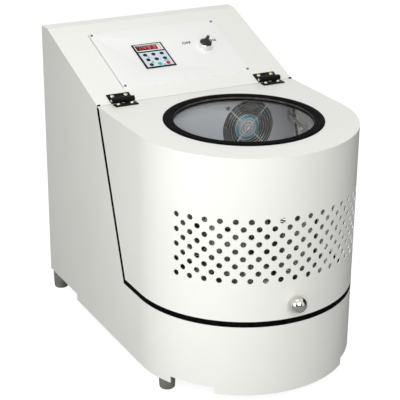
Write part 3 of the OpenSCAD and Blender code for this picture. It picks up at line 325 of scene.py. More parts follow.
# Tool marks run round the axis
def lathed(name, colour, shade, rough, centre, pitch=1400, depth=0.08):
    f = Finish(name)
    parts = f.offsets(centre[0], centre[1] + mill["axisY"], 0)
    where = f.add("CombineXYZ", {"X": f.reach(parts["X"], parts["Y"]), "Y": 0.0, "Z": parts["Z"]})
    marks = f.add(
        "TexNoise", {"Vector": where.outputs[0], "Scale": pitch, "Detail": 2.0},
    ).outputs["Fac"]
    stain = f.noise(18.0)
    return f.ends(
        metallic=1.0, baseColor=f.blend(stain, colour, shade),
        roughness=f.between(marks, *rough), normal=f.bump(marks, depth, 0.0002),
    )


def clearGlass(name, tint):
    f = Finish(name)
    smear = f.noise(9.0)
    glass = f.ends(
        baseColor=(*tint, 1), roughness=f.between(smear, 0.0, 0.005), transmissionWeight=1.0, ior=1.06,
    )
    clear = f.add("BsdfTransparent")
    path = f.add("LightPath")
    mix = f.add(
        "MixShader", {0: path.outputs["Is Shadow Ray"], 1: f.shader.outputs[0], 2: clear.outputs[0]},
    )
    f.feed(f.tree.nodes["Material Output"].inputs["Surface"], mix.outputs[0])
    return glass


def lamp(name, colour, strength):  # a lit segment or diode
    f = Finish(name)
    glow = f.noise(900.0, detail=2.0)
    return f.ends(
        baseColor=(*colour, 1), roughness=f.between(glow, 0.25, 0.35), emissionColor=(*colour, 1),
        emissionStrength=f.between(glow, strength * 0.85, strength),
    )


whitePaint = paint("whitePaint", (0.80, 0.80, 0.76), (0.825, 0.825, 0.79), coat=0.05, gloss=0.35)
platePaint = paint(
    "platePaint", (0.82, 0.82, 0.805), (0.84, 0.84, 0.83),
    rough=(0.28, 0.36), peel=0.02, grain=1200, coat=0.05, gloss=0.35,
)
greyPaint = paint(
    "greyPaint", (0.38, 0.39, 0.43), (0.43, 0.44, 0.475),
    rough=(0.35, 0.5), peel=0.06, grain=500, coat=0.0, gloss=0.3,
)
framePaint = paint("framePaint", (0.07, 0.075, 0.08), (0.10, 0.105, 0.11), rough=(0.4, 0.6), peel=0.1, grain=400)
motorPaint = paint("motorPaint", (0.10, 0.16, 0.24), (0.13, 0.19, 0.27), rough=(0.35, 0.5), peel=0.1, grain=500)
hingeBlack = paint(
    "hingeBlack", (0.004, 0.004, 0.005), (0.009, 0.009, 0.009),
    rough=(0.35, 0.5), peel=0.12, grain=900, coat=0.0, gloss=0.06,
)
blackRubber = rubber("blackRubber", (0.002, 0.002, 0.003), (0.007, 0.007, 0.007), gloss=0.01)
# lighter rubber for the window ring's wall towards the glass
paleRubber = rubber("paleRubber", (0.045, 0.041, 0.037), (0.09, 0.083, 0.075), rough=(0.55, 0.7))
beltRubber = rubber("beltRubber", (0.016, 0.016, 0.016), (0.05, 0.048, 0.045), rough=(0.6, 0.8))
blackPlastic = plastic("blackPlastic", (0.004, 0.004, 0.005), (0.008, 0.008, 0.009), gloss=0.05)
fanPlastic = plastic("fanPlastic", (0.018, 0.017, 0.016), (0.028, 0.026, 0.025), rough=(0.4, 0.55), gloss=0.2)
handlePlastic = plastic(
    "handlePlastic", (0.006, 0.006, 0.007), (0.012, 0.012, 0.013), rough=(0.28, 0.4), grain=900, depth=0.06,
)
# painted shadow: a dark colour for the plate's side faces, standing in for the shadow line along its edges
plateShadowEdge = plastic("plateShadowEdge", (0.06, 0.06, 0.065), (0.09, 0.09, 0.095), rough=(0.5, 0.65))
chrome = metal("chrome", (0.62, 0.60, 0.56), (0.68, 0.66, 0.62), rough=(0.03, 0.07), grain=220, depth=0.02)
footSteel = metal("footSteel", (0.4, 0.4, 0.38), (0.5, 0.5, 0.47), rough=(0.06, 0.14), grain=240, stretch=(1, 1, 6))
# painted light: the guard's spokes and rings are one wire; the spokes get a bright, part-metal colour as painted
# glints
litSpokeWire = metal("litSpokeWire", (0.84,) * 3, (0.9,) * 3, rough=(0.12, 0.2), grain=500, depth=0.03, bare=0.4)
collarSilver = metal(
    "collarSilver", (0.86, 0.86, 0.85), (0.9, 0.9, 0.89),
    rough=(0.22, 0.32), grain=300, depth=0.04, stretch=(1, 1, 30),
)
groundSteel = metal(
    "groundSteel", (0.46, 0.46, 0.45), (0.52, 0.51, 0.5), rough=(0.22, 0.38), grain=300, stretch=(1, 1, 20),
)
pinSteel = metal("pinSteel", (0.82, 0.82, 0.8), (0.88, 0.88, 0.86), rough=(0.2, 0.3), grain=500, depth=0.04)
castIron = metal("castIron", (0.16, 0.16, 0.16), (0.2, 0.195, 0.19), rough=(0.5, 0.7), grain=260, depth=0.25)
brassScrew = metal("brassScrew", (0.62, 0.54, 0.36), (0.7, 0.64, 0.46), rough=(0.22, 0.38), grain=700, depth=0.08)
# painted shade: the guard's rings are coloured darker than the spokes of the same wire
shadedRingWire = metal("shadedRingWire", (0.3, 0.29, 0.28), (0.36, 0.35, 0.34), rough=(0.25, 0.35), grain=500, depth=0.03)
zincScrew = metal("zincScrew", (0.14, 0.13, 0.11), (0.2, 0.19, 0.16), rough=(0.25, 0.4), grain=700, depth=0.08)
tableSteel = lathed("tableSteel", (0.46, 0.46, 0.46), (0.52, 0.52, 0.51), rough=(0.25, 0.42), centre=(0, 0))
windowGlass = clearGlass("windowGlass", (0.96, 0.98, 0.97))
print("materials made")

# CAD nodes that stay as they are get their finish here
kept = {
    "cabinet_shell": whitePaint, "lid_shell": whitePaint, "rear_panel": whitePaint,
    "base_frame": framePaint, "chamber_wall": greyPaint, "chamber_floor": greyPaint,
    "bearing_housing": castIron, "driven_pulley": castIron, "motor_rotor": castIron,
    "main_bearings": groundSteel, "planet_bearings": groundSteel, "main_shaft": groundSteel,
    "sun_gear": groundSteel, "drive_belts": beltRubber, "window_glass": windowGlass,
}
for name, finish in kept.items():
    mesh = nodes[name].data
    if not mesh.materials:
        mesh.materials.append(finish)
    for i in range(len(mesh.materials)):
        mesh.materials[i] = finish

# Camera
camera = {
    "place": (-1.28575, -2.37621, 1.4041),
    "yaw": 29.063,
    "pitch": 23.731,
    "roll": 1.075,
    "lens": 120.88,
    "shift": (-0.0696, 0.1058),
    "clip": (0.05, 60),
}


def makeCamera():
    data = bpy.data.cameras.new("photoCamera")
    data.lens = camera["lens"]
    data.shift_x, data.shift_y = camera["shift"]
    data.clip_start, data.clip_end = camera["clip"]
    eye = newObject("photoCamera", data)
    aim = turn(-camera["yaw"], "Z") @ turn(90 - camera["pitch"], "X") @ turn(camera["roll"], "Z")
    eye.matrix_world = at(*camera["place"]) @ aim
    scene.camera = eye


makeCamera()

# Studio: white surround, a broad key low in front, a small lamp above, one at the left, and dark cards
studio = {
    "ambient": 0.45,
    "lamps": {
        "keyLight": {"place": (-0.9, -2.6, 1.7), "size": 1.8, "power": 54},
        "topLight": {"place": (-0.6, 0.1, 2.4), "size": 1.0, "power": 12},
        "sideLight": {"place": (-1.0, -0.45, 0.45), "size": 0.6, "power": 3.3},
    },
    "lampAim": (0, 0, 0.35),
    "tint": (1.0, 1.0, 0.985),
    "cards": {  # the polished pieces show them
        "sideCard": {"place": (1.5, -0.35, 0.4), "half": (0.95, 1.1), "shades": True},
        "deskCard": {"place": (-1.6, -3.5, 1.2), "half": (3.5, 1.0), "shades": False},
    },
    "cardAim": (0, 0, 0.4),
    "cardTone": 0.03,
    "floorHalf": 9.0,
    "floorBounce": 0.32,  # what the object's underside gets back
    "floorShadow": 0.28,  # how much of the light the camera sees on the floor
    "floorGlow": 0.9,
    "floorMirror": 0.08,  # the floor as polished pieces show it
}


def makeSurround():
    world = bpy.data.worlds.new("studioWorld")
    scene.world = world
    world.use_nodes = True
    tree = world.node_tree
    path = tree.nodes.new("ShaderNodeLightPath")
    seen = path.outputs["Is Camera Ray"]
    for kind in ("Is Glossy Ray", "Is Transmission Ray"):
        either = tree.nodes.new("ShaderNodeMath")
        either.operation = "MAXIMUM"
        tree.links.new(seen, either.inputs[0])
        tree.links.new(path.outputs[kind], either.inputs[1])
        seen = either.outputs[0]
    level = tree.nodes.new("ShaderNodeMapRange")
    tree.links.new(seen, level.inputs["Value"])
    level.inputs["To Min"].default_value = studio["ambient"]
    level.inputs["To Max"].default_value = 1.0
    back = tree.nodes["Background"]
    back.inputs["Color"].default_value = (1, 1, 1, 1)
    tree.links.new(level.outputs[0], back.inputs["Strength"])


def makeLamps():
    for name, facts in studio["lamps"].items():
        data = bpy.data.lights.new(name, "AREA")
        data.size = facts["size"]
        data.energy = facts["power"]
        data.color = studio["tint"]
        light = newObject(name, data)
        light.visible_camera = False
        light.location = facts["place"]
        aim = Vector(studio["lampAim"]) - light.location
        light.rotation_euler = aim.to_track_quat("-Z", "Y").to_euler()


def flatSheet(name, material, place, half):
    bm = bmesh.new()
    shape = place @ Matrix.Diagonal((*half, 1, 1))
    bmesh.ops.create_grid(bm, x_segments=1, y_segments=1, size=1, matrix=shape)
    mesh = bpy.data.meshes.new(name)
    bm.to_mesh(mesh)
    bm.free()
    mesh.materials.append(material)
    return newObject(name, mesh)


def makeCards():
    f = Finish("cardFelt")
    fibre = f.noise(900.0)
    felt = f.ends(
        baseColor=(studio["cardTone"],) * 3 + (1,), roughness=f.between(fibre, 0.85, 0.95),
        normal=f.bump(fibre, 0.2, 0.0005),
    )
    for name, facts in studio["cards"].items():
        aim = Vector(studio["cardAim"]) - Vector(facts["place"])
        place = at(*facts["place"]) @ aim.to_track_quat("Z", "Y").to_matrix().to_4x4()
        card = flatSheet(name, felt, place, facts["half"])
        card.visible_camera = False
        card.visible_diffuse = facts["shades"]
        card.visible_shadow = facts["shades"]


def makeFloor():
    f = Finish("floorPaper")
    path = f.add("LightPath").outputs
    direct = f.sums("MAXIMUM", path["Is Camera Ray"], path["Is Transmission Ray"])
    mirrored = f.sums("MULTIPLY", path["Is Glossy Ray"], studio["floorMirror"])
    shown = f.sums("MAXIMUM", mirrored, f.sums("MULTIPLY", direct, studio["floorGlow"]))
    glow = f.add("Emission", {"Color": (1, 1, 1, 1), "Strength": shown})
    seen = f.sums("MAXIMUM", direct, path["Is Glossy Ray"])
    fibre = f.noise(400.0)
    grey = f.between(seen, studio["floorBounce"], studio["floorShadow"], 0.0, 1.0)
    f.ends(baseColor=grey, roughness=f.between(fibre, 0.85, 0.95), specularIorLevel=0.0)
    both = f.add("AddShader", {0: f.shader.outputs[0], 1: glow.outputs[0]})
    f.feed(f.tree.nodes["Material Output"].inputs["Surface"], both.outputs[0])
    floor = flatSheet("studioFloor", f.material, Matrix(), (studio["floorHalf"],) * 2)


makeSurround()
makeLamps()
makeCards()
makeFloor()
scene.view_settings.view_transform = "Standard"
print("camera and studio made")

# Rubber seal between cabinet and hood; its ends rise in the gap and hook in over the hinge line
seal = {
    "edge": 1.6, "gapFront": 201.3, "gapBack": 203.3, "foot": 530.8, "tip": 539.6,
    "inside": 228.7, "outside": 234.9, "postEdge": 0.7,
    "hook": 7, "hookBack": 0.6, "hookTall": 2.6, "hookDrop": 1.2, "hookEdge": 0.9,
}


def makeSeal():
    q = seal
    bm = softened("rim_seal", q["edge"], 3)
    middle = (q["gapFront"] + q["gapBack"]) / 2
    thick = q["gapBack"] - q["gapFront"]
    tall = q["tip"] - q["foot"]
    for side in (-1, 1):
        place = spot(side * (q["outside"] + q["inside"]) / 2, middle, q["foot"] + tall / 2)
        box(bm, (q["outside"] - q["inside"], thick, tall), place, q["postEdge"])
        place = spot(side * (q["outside"] - q["hook"] / 2), middle + q["hookBack"], q["tip"] - q["hookDrop"])
        box(bm, (q["hook"], thick + 2 * q["hookBack"], q["hookTall"]), place, q["hookEdge"])
    addPiece(bm, "mouthSeal", blackRubber, "cabinet", ["rim_seal"])


makeSeal()

# Window: moulded ring round the glass
window = {
    "inner": 143, "outer": 165, "hole": 154, "rise": 3, "glassTop": 534.02, "glassBottom": 529,
    "steps": 144, "paleWall": 1.0,
}


def makeWindow():
    inner, outer, hole = window["inner"], window["outer"], window["hole"]
    glass, under = window["glassTop"], window["glassBottom"]
    top = mill["lidHeight"]
    crown = top + window["rise"]
    bm = bmesh.new()
    turned(bm, [
        (inner, glass), (inner + 0.2, top - 1.2), (inner + 0.9, top + 0.8), (inner + 2.2, top + 2.0),
        (inner + 4.4, crown - 0.1), (inner + 8.0, crown), (inner + 8.6, crown - 0.7), (inner + 10.2, crown - 0.7),
        (inner + 10.8, crown), (outer - 5.5, crown - 0.05), (outer - 2.6, crown - 0.5), (outer - 0.8, crown - 1.5),
        (outer, top + 0.7), (outer, top), (hole, top), (hole, top - 2), (outer - 3, top - 2), (outer - 3, top - 4),
        (outer - 4, top - 5), (hole + 1, top - 5), (inner + 9, under - 2.6), (inner + 8, under - 3),
        (inner + 1, under - 3), (inner, under - 2), (inner, under), (inner + 7, under), (inner + 7, glass),
    ], spot(0, 0, 0), window["steps"], closed=True)
    axis = Vector((0, mill["axisY"]))
    for face in bm.faces:  # the wall towards the glass is coloured lighter
        reach = (face.calc_center_median().xy - axis).length
        face.material_index = int(reach < inner + window["paleWall"])
    addPiece(bm, "windowRing", [blackRubber, paleRubber], "lid", ["window_seal"])


makeWindow()
print("seal and window made")

# Screws with a cross recess
screwSizes = {
    "leaf": {"head": 9, "rise": 2.0, "shank": 4, "length": 8.5},
    "plate": {"head": 6, "rise": 2.0, "shank": 3, "length": 6.5},
    "rear": {"head": 7.5, "rise": 2.0, "shank": 3, "length": 8},
    "fan": {"head": 9.2, "rise": 2.0, "shank": 4, "length": 42},
}
# As shares of the head's radius, the depth as a share of its rise
recess = {"flat": 0.62, "reach": 0.42, "half": 0.13, "taper": 0.7, "depth": 0.75}


def nextRing(bm, rim, radius, z):
    made = bmesh.ops.extrude_edge_only(bm, edges=rim)
    for v in newVerts(made):
        v.co = (*v.co.xy.normalized() * radius, z)
    return newEdges(made)


def screw(bm, facts, place):
    radius, rise, shank = facts["head"] / 2, facts["rise"], facts["shank"] / 2
    old = set(bm.verts)
    circle = loopOf(bm, 24)
    for v in circle:  # rim of the flat top
        v.co = v.co.normalized() * radius * recess["flat"]
        v.co.z = rise
    rim = edgesAmong(bm, circle)
    cross = loopOf(bm, 12)
    quarter = math.pi / 2
    for v in cross:  # two corners at the end of each arm, one between the arms
        a = math.atan2(v.co.y, v.co.x)
        if round(a / (math.pi / 6)) % 3:
            far = radius * recess["reach"]
            arm = round(a / quarter) * quarter
            a = arm + math.copysign(math.atan(recess["half"] / recess["reach"]), a - arm)
        else:
            far = radius * (recess["half"] * math.sqrt(2))
            a = round((a - math.pi / 4) / quarter) * quarter + math.pi / 4
        v.co = (far * math.cos(a), far * math.sin(a), rise)
    crossEdges = edgesAmong(bm, cross)
    bmesh.ops.bridge_loops(bm, edges=rim + crossEdges)
    low = bmesh.ops.extrude_edge_only(bm, edges=crossEdges)
    bmesh.ops.scale(bm, vec=(recess["taper"], recess["taper"], 1), verts=newVerts(low))
    bmesh.ops.translate(bm, vec=(0, 0, -recess["depth"] * rise), verts=newVerts(low))
    bmesh.ops.contextual_create(bm, geom=newEdges(low))
    for out, z in (
        (radius * 0.85, rise * 0.8), (radius * 0.97, rise * 0.4), (radius, rise * 0.02),
        (shank, 0.02), (shank, -facts["length"]),
    ):
        rim = nextRing(bm, rim, out, z)
    bmesh.ops.contextual_create(bm, geom=rim)
    bmesh.ops.transform(bm, matrix=place, verts=[v for v in bm.verts if v not in old])


# Each screw stands a step further round than the last
def screwSet(name, kind, places, finish, twist, step, body="cabinet", stands=()):
    bm = bmesh.new()
    for i, place in enumerate(places):
        screw(bm, screwSizes[kind], place @ turn(twist + i * step, "Z"))
    addPiece(bm, name, finish, body, stands)


# Hinges
hinge = {
    "spread": 177, "width": 52, "screwSpread": 31, "leaf": 2.5, "edge": 0.5,
    "pinY": 202.3, "pinZ": 544, "lowerRow": 12.5, "upperRow": 22,
}


def makeHinges():
    h = hinge
    columns = [side * h["spread"] + end * h["screwSpread"] / 2 for side, end in corners]
    top = mill["lidHeight"] + h["leaf"]
    softPiece("hinge_leaves_cabinet", h["edge"], "hingeUpper", hingeBlack, "cabinet")
    softPiece("hinge_leaves_lid", h["edge"], "hingeLower", hingeBlack, "lid")
    places = [spot(x, h["pinY"] - h["lowerRow"], top) for x in columns]
    screwSet(
        "hingeScrewsLower", "leaf", places, brassScrew, twist=15, step=27, body="lid", stands=["hinge_screws_lid"],
    )
    bm = bmesh.new()
    for side, end in corners:
        x = side * h["spread"] + end * h["width"] / 2
        place = spot(x, h["pinY"], h["pinZ"]) @ turn(end * 90, "Y")
        turned(bm, [(0, 1.5), (1.4, 1.3), (2.6, 0.7), (3.2, 0.2), (3.2, -0.4), (0, -0.4)], place, 24)
    addPiece(bm, "pinEnds", pinSteel, "cabinet")
    places = [onSlope(x, h["upperRow"], h["leaf"]) for x in columns]
    screwSet("hingeScrewsUpper", "leaf", places, brassScrew, twist=123, step=31, stands=["fasteners"])


makeHinges()

# Control plate, and the small screws on it, on the rear panel and through the fan
plate = {
    "edge": 0.35, "thickness": 1.5, "sideFrom": 152, "sideTilt": 0.3, "smooth": 20,
    "screwX": 149, "screwRows": (52, 240),
}
rearScrews = {"x": 203, "rows": (90, 310, 530), "reach": 507}
fan = {
    "x": 114, "z": 444, "edge": 0.9, "hole": 52.4, "wallFront": 180, "screwSeat": 178,
    "wheelFront": 184, "wheelBack": 213, "hub": 32, "hubSteps": 64,
    "blades": 7, "bladeRoot": 30.8, "bladeTip": 55.5, "bladeCells": 8, "bladeThick": 1.5, "bladeGap": 1.2,
    "tilt": 52, "tiltLoss": 20, "chord": 26, "chordGain": 10, "sweep": 0.35, "camber": 2.4,
    "guardPitch": 6.2, "guardRings": 9, "ringBehind": 1.6, "wire": 1.0, "wireEnd": 0.3, "shadedRingWire": 0.8,
    "loop": 3.6, "loopBite": 0.5,
}


def makePlate():
    p = plate
    bm = softened("control_plate", p["edge"])
    bm.normal_update()
    for face in bm.faces:  # painted shadow: the side faces are coloured dark to stand in for the shadow line along the plate's edges
        atSide = abs(face.calc_center_median().x) > p["sideFrom"]
        face.material_index = int(atSide and abs(face.normal.x) > p["sideTilt"])
    finishes = [platePaint, plateShadowEdge]
    addPiece(bm, "controlPlate", finishes, "cabinet", ["control_plate"], angle=p["smooth"])
    places = [onSlope(side * p["screwX"], s, p["thickness"]) for side in (-1, 1) for s in p["screwRows"]]
    screwSet("plateScrews", "plate", places, zincScrew, twist=10, step=37)
    r = rearScrews
    places = [toBack(side * r["x"], r["reach"], z) for side in (-1, 1) for z in r["rows"]]
    screwSet("rearScrews", "rear", places, zincScrew, twist=158, step=23)
    f = fan
    places = [toFront(f["x"] + a * f["hole"], f["screwSeat"], f["z"] + b * f["hole"]) for a, b in corners]
    screwSet("fanScrews", "fan", places, zincScrew, twist=296, step=41)


makePlate()
print("hinges, plate and screws made")

# Keypad on the drive unit
keypad = {
    "x": -41, "edge": 0.5, "face": 3.1, "label": 0.35,
    "fieldLow": 102.3, "fieldHigh": 154.4, "fieldHalf": 32,
    "stepX": 20.2, "stepY": 18, "topRow": 145, "keyRadius": 4.5, "keyGap": 0.5, "keyRise": 1.6, "keyFoot": 3.2,
}
keyInk = {
    "navy": ((0.005, 0.005, 0.02), (0.009, 0.009, 0.03)),
    "teal": ((0.0, 0.40, 0.37), (0.01, 0.46, 0.42)),
    "red": ((0.46, 0.005, 0.008), (0.54, 0.012, 0.014)),
}
fieldFilm = plastic("fieldFilm", (0.56, 0.66, 0.72), (0.6, 0.7, 0.75), rough=(0.3, 0.42), grain=1600, depth=0.04)
paleFilm = plastic("paleFilm", (0.74, 0.76, 0.68), (0.78, 0.79, 0.72), rough=(0.3, 0.42), grain=1600, depth=0.04)


def fieldCell(bm, centre, edges, radius, base, thickness):
    # one cell of the key field, with a round hole for its key
    left, right, low, high = edges
    hole = loopOf(bm, 32, radius)
    rim = loopOf(bm, 32)
    for v in rim:
        a = math.atan2(v.co.y, v.co.x)
        c, d = math.cos(a), math.sin(a)
        reach = min(
            (right if c > 0 else left) / max(abs(c), 1e-6),
            (high if d > 0 else low) / max(abs(d), 1e-6),
        )
        v.co = (c * reach, d * reach, 0)
    for x, y in ((right, high), (-left, high), (-left, -low), (right, -low)):
        near = min(rim, key=lambda v: (v.co.x - x) ** 2 + (v.co.y - y) ** 2)
        near.co = (x, y, 0)
    loops = edgesAmong(bm, hole) + edgesAmong(bm, rim)
    top = raised(bm, bmesh.ops.bridge_loops(bm, edges=loops)["faces"], thickness)
    bmesh.ops.translate(bm, vec=(*centre, base), verts=list(set(hole) | set(rim) | set(top)))


def makeKeypad():
    k = keypad
    softPiece("inverter", k["edge"], "keypadCase", blackPlastic, "cabinet")
    bm = bmesh.new()
    margin = k["fieldHalf"] - k["stepX"]
    for row in range(3):
        for column in range(3):
            x, s = (column - 1) * k["stepX"], k["topRow"] - row * k["stepY"]
            left = k["stepX"] / 2 if column else margin
            right = k["stepX"] / 2 if column < 2 else margin
            high = k["stepY"] / 2 if row else k["fieldHigh"] - s
            low = k["stepY"] / 2 if row < 2 else s - k["fieldLow"]
            hole = k["keyRadius"] + k["keyGap"]
            fieldCell(bm, (x, s), (left, right, low, high), hole, k["face"], k["label"])
    addPiece(bm, "keypadField", fieldFilm, "cabinet", place=onSlope(k["x"], 0))


makeKeypad()

# Display above the keys: pale frame, sunk window, four digits of bars, and lamps beside them
display = {
    "low": 159.2, "high": 183.4, "half": 32, "openLow": 162, "openHigh": 181, "openLeft": 30.3, "openRight": 27,
    "base": {"size": (53.6, 18.6, 0.5), "x": 0, "z": 2.16, "edge": 0.12},
    "glass": {"size": (48, 15.4, 0.5), "x": -2.8, "z": 2.68, "edge": 0.2},
    "digits": "1493", "firstX": -24, "step": 12.4, "tall": 9.8, "wide": 6.6, "bar": 1.25, "barGap": 0.3,
    "digitZ": 2.93, "digitRise": 0.06, "lean": 0.12,
    "lampX": 24.2, "lampZ": 2.4, "lamps": (-5.2, -1.8, 1.8, 5.2),
}
segments = {"1": "bc", "3": "abgcd", "4": "fgbc", "9": "abcdfg"}
displayFilm = plastic(
    "displayFilm", (0.028, 0.004, 0.006), (0.05, 0.006, 0.008), rough=(0.1, 0.18), grain=600, depth=0.02,
)
litRed = lamp("litRed", (1.0, 0.01, 0.06), 1.2)
litAmber = lamp("litAmber", (0.9, 0.5, 0.05), 0.7)


def displayFrame(bm):  # flat, between two rectangles
    d = display
    loops = []
    for x0, x1, s0, s1 in (
        (-d["half"], d["half"], d["low"], d["high"]), (-d["openLeft"], d["openRight"], d["openLow"], d["openHigh"]),
    ):
        loop = loopOf(bm, 4)
        for v in loop:
            a = round(math.atan2(v.co.y, v.co.x) / (math.pi / 2)) % 4
            v.co = (*((x1, s1), (x0, s1), (x0, s0), (x1, s0))[a], keypad["face"])
        loops += edgesAmong(bm, loop)
    raised(bm, bmesh.ops.bridge_loops(bm, edges=loops)["faces"], keypad["label"])


def segmentBar(bm, x, s, length, upright):  # a hexagon, leaning as the digit does
    d = display
    bar = loopOf(bm, 6, filled=True)
    shoulder = (length - d["bar"]) / 2
    for v in bar:
        a = round(math.degrees(math.atan2(v.co.y, v.co.x)) / 60) % 6
        along = (length / 2, shoulder, -shoulder, -length / 2, -shoulder, shoulder)[a]
        across = (0, 1, 1, 0, -1, -1)[a] * d["bar"] / 2
        v.co = (across, along, 0) if upright else (along, across, 0)
    top = raised(bm, list({f for v in bar for f in v.link_faces}), d["digitRise"])
    for v in set(bar) | set(top):
        v.co = (x + v.co.x + (s + v.co.y) * d["lean"], s + v.co.y, v.co.z + d["digitZ"])


def makeDisplay():
    d = display
    ground = onSlope(keypad["x"], 0)
    middle = (d["openLow"] + d["openHigh"]) / 2
    bm = bmesh.new()
    displayFrame(bm)
    addPiece(bm, "displayFrame", paleFilm, "cabinet", place=ground)
    for name, layer, film, slotName in (
        ("displayBase", d["base"], paleFilm, "grey_paint"),
        ("displayWindow", d["glass"], displayFilm, "black_plastic"),
    ):
        bm = bmesh.new()
        box(bm, layer["size"], at(layer["x"], middle, layer["z"]), layer["edge"])
        addPiece(bm, name, film, "cabinet", place=ground)
    bm = bmesh.new()
    high, wide = d["tall"], d["wide"]
    bars = {  # middle, length and whether it stands
        "a": (0, high / 2, wide, False), "d": (0, -high / 2, wide, False), "g": (0, 0, wide, False),
        "b": (wide / 2, high / 4, high / 2, True), "c": (wide / 2, -high / 4, high / 2, True),
        "f": (-wide / 2, high / 4, high / 2, True),
    }
    for i, digit in enumerate(d["digits"]):
        for letter in segments[digit]:
            x, s, length, upright = bars[letter]
            segmentBar(bm, d["firstX"] + i * d["step"] + x, s, length - d["barGap"], upright)
    bmesh.ops.translate(bm, vec=(0, middle, 0), verts=bm.verts)
    addPiece(bm, "displayDigits", litRed, "cabinet", place=ground)
    bm = bmesh.new()
    for s in d["lamps"]:
        place = at(d["lampX"], middle + s, d["lampZ"])
        turned(bm, [(0, 0.45), (0.5, 0.4), (0.8, 0.2), (0.85, 0), (0, 0)], place, 16)
    addPiece(bm, "displayLights", litAmber, "cabinet", place=ground)


def makeKeys():
    k = keypad
    inks = {name: plastic(name + "Key", *ink, (0.3, 0.42), 900, 0.05, gloss=0.12) for name, ink in keyInk.items()}
    r, top, foot = k["keyRadius"], k["face"] + k["keyRise"], k["face"] - k["keyFoot"]
    for i in range(9):
        ink = "red" if i == 8 else "teal" if i == 7 else "navy"
        place = onSlope(k["x"] + (i % 3 - 1) * k["stepX"], k["topRow"] - (i // 3) * k["stepY"])
        bm = bmesh.new()
        turned(bm, [
            (0, top - 0.25), (r * 0.45, top - 0.2), (r * 0.72, top), (r * 0.86, top - 0.05),
            (r * 0.96, top - 0.25), (r, top - 0.6), (r, foot + 0.3), (r - 0.3, foot), (0, foot),
        ], steps=40)
        addPiece(bm, f"keyCap{i + 1}", inks[ink], f"button_{i + 1}", [f"key_{i + 1}"], place)


makeDisplay()
makeKeys()
print("keypad made")

# Selector switch with OFF and ON beside it
selector = {
    "x": 90, "s": 150, "bore": 4.06, "collar": 15.5, "collarTop": 13.5, "thread": 11,
    "block": 29, "blockDepth": 42, "blockTop": -8, "blockEdge": 1.2,
    "skirtBase": 13.8, "skirt": 13.5, "skirtRise": 4, "spindle": 10,
    "angle": 45, "length": 25, "tail": 25 / 3, "width": 9, "rise": 9, "edge": 1.3,
    "narrowAhead": 0.28, "narrowUp": 0.22, "slopeAhead": 3.0, "slopeBack": 3.4, "tailDrop": 1.6, "dotAt": 10.9,
}
signs = {"OFF": (54, 172), "ON": (118, 170), "size": 11.5, "depth": 0.12, "spacing": 1.15, "bold": 0.38}
inkBlack = plastic(
    "inkBlack", (0.004, 0.004, 0.005), (0.008, 0.008, 0.009), rough=(0.4, 0.5), grain=900, depth=0.03, gloss=0.1,
)
indexWhite = plastic("indexWhite", (0.8, 0.8, 0.78), (0.84, 0.84, 0.82), rough=(0.4, 0.5), grain=900, depth=0.03)


def makeSelector():
    c = selector
    ground = onSlope(c["x"], c["s"])
    held = ground @ turn(-c["angle"], "Z")
    bm = bmesh.new()
    r, top, bore, thread, foot = c["collar"], c["collarTop"], c["bore"], c["thread"], c["blockTop"]
    turned(bm, [
        (bore, top), (r - 2.4, top), (r - 1.6, top - 0.2), (r - 1.0, top - 1.0), (r - 0.7, top - 2.4),
        (r - 0.7, 6.0), (r - 0.5, 4.4), (r, 3.4), (r, 2.0), (r - 0.4, 1.5), (thread, 1.5), (thread, 0.2),
        (thread - 0.4, -0.4), *((thread - 0.4 * (i % 2), -1.0 - 0.8 * i) for i in range(7)),
        (thread, foot), (bore, foot),
    ], steps=64, closed=True)
    place = at(0, 0, foot - c["blockDepth"] / 2)
    box(bm, (c["block"], c["block"], c["blockDepth"]), place, c["blockEdge"])
    addPiece(bm, "switchCollar", collarSilver, "cabinet", ["switch_body"], ground)
    bm = bmesh.new()
    r, base = c["skirt"], c["skirtBase"]
    crown, end = base + c["skirtRise"], base - c["spindle"]
    turned(bm, [
        (0, crown + 1.4), (4.5, crown + 1.2), (8.0, crown + 0.4), (r - 1.2, base + 2.4), (r - 0.2, base + 1.6),
        (r, base + 1.0), (r, base + 0.4), (r - 0.3, base), (4.0, base), (4.0, end), (3.4, end - 0.3),
        (0, end - 0.3),
    ], steps=64)
    low, high = base + 1.0, crown + c["rise"]
    place = at(0, c["length"] / 2 - c["tail"], (low + high) / 2)
    lever = box(bm, (c["width"], c["length"], high - low), place)
    for v in lever:  # narrower and lower towards its ends
        ahead = (v.co.y + c["tail"]) / c["length"]
        up = (v.co.z - low) / (high - low)
        v.co.x *= 1 - c["narrowAhead"] * ahead - c["narrowUp"] * up
        v.co.y -= (c["slopeAhead"] if ahead > 0.5 else -c["slopeBack"]) * up
        v.co.z -= c["tailDrop"] * up * (1 - ahead)
    roundEdges(bm, sharpEdges(bm, 30, set(lever)), c["edge"], 3)
    addPiece(bm, "selectorHandle", handlePlastic, "selector", ["selector_knob"], held)
    bm = bmesh.new()
    turned(bm, [(0, 0.35), (0.9, 0.3), (1.35, 0.0), (1.35, -0.3), (0, -0.3)], at(0, c["dotAt"], high), 24)
    addPiece(bm, "selectorDot", indexWhite, "selector", place=held)


def makeSigns():
    for word in ("OFF", "ON"):
        data = bpy.data.curves.new("sign" + word.title(), "FONT")
        data.body = word
        data.size = signs["size"]
        data.align_x, data.align_y = "CENTER", "CENTER"
        data.space_character = signs["spacing"]
        data.extrude = signs["depth"] / 2
        data.offset = signs["bold"]
        drawn = newObject("drawn", data)
        bpy.context.view_layer.update()
        bm = bmesh.new()
        bm.from_mesh(drawn.to_mesh())
        drawn.to_mesh_clear()
        bpy.data.objects.remove(drawn)
        place = onSlope(*signs[word], plate["thickness"] + signs["depth"] / 2)
        addPiece(bm, "sign" + word.title(), inkBlack, "cabinet", place=place)


makeSelector()
makeSigns()
print("selector made")

# Ball knob on the hood, drawn from the middle of the ball with Z away from the hood
knob = {
    "ball": 17.5, "ballSteps": 28, "offset": 17, "z": 230.4, "neck": 7, "neckAt": -16.1,
    "stud": 4, "studEnd": -27, "nut": 8, "nutTall": 5.4, "nutBehind": 5.2,
}


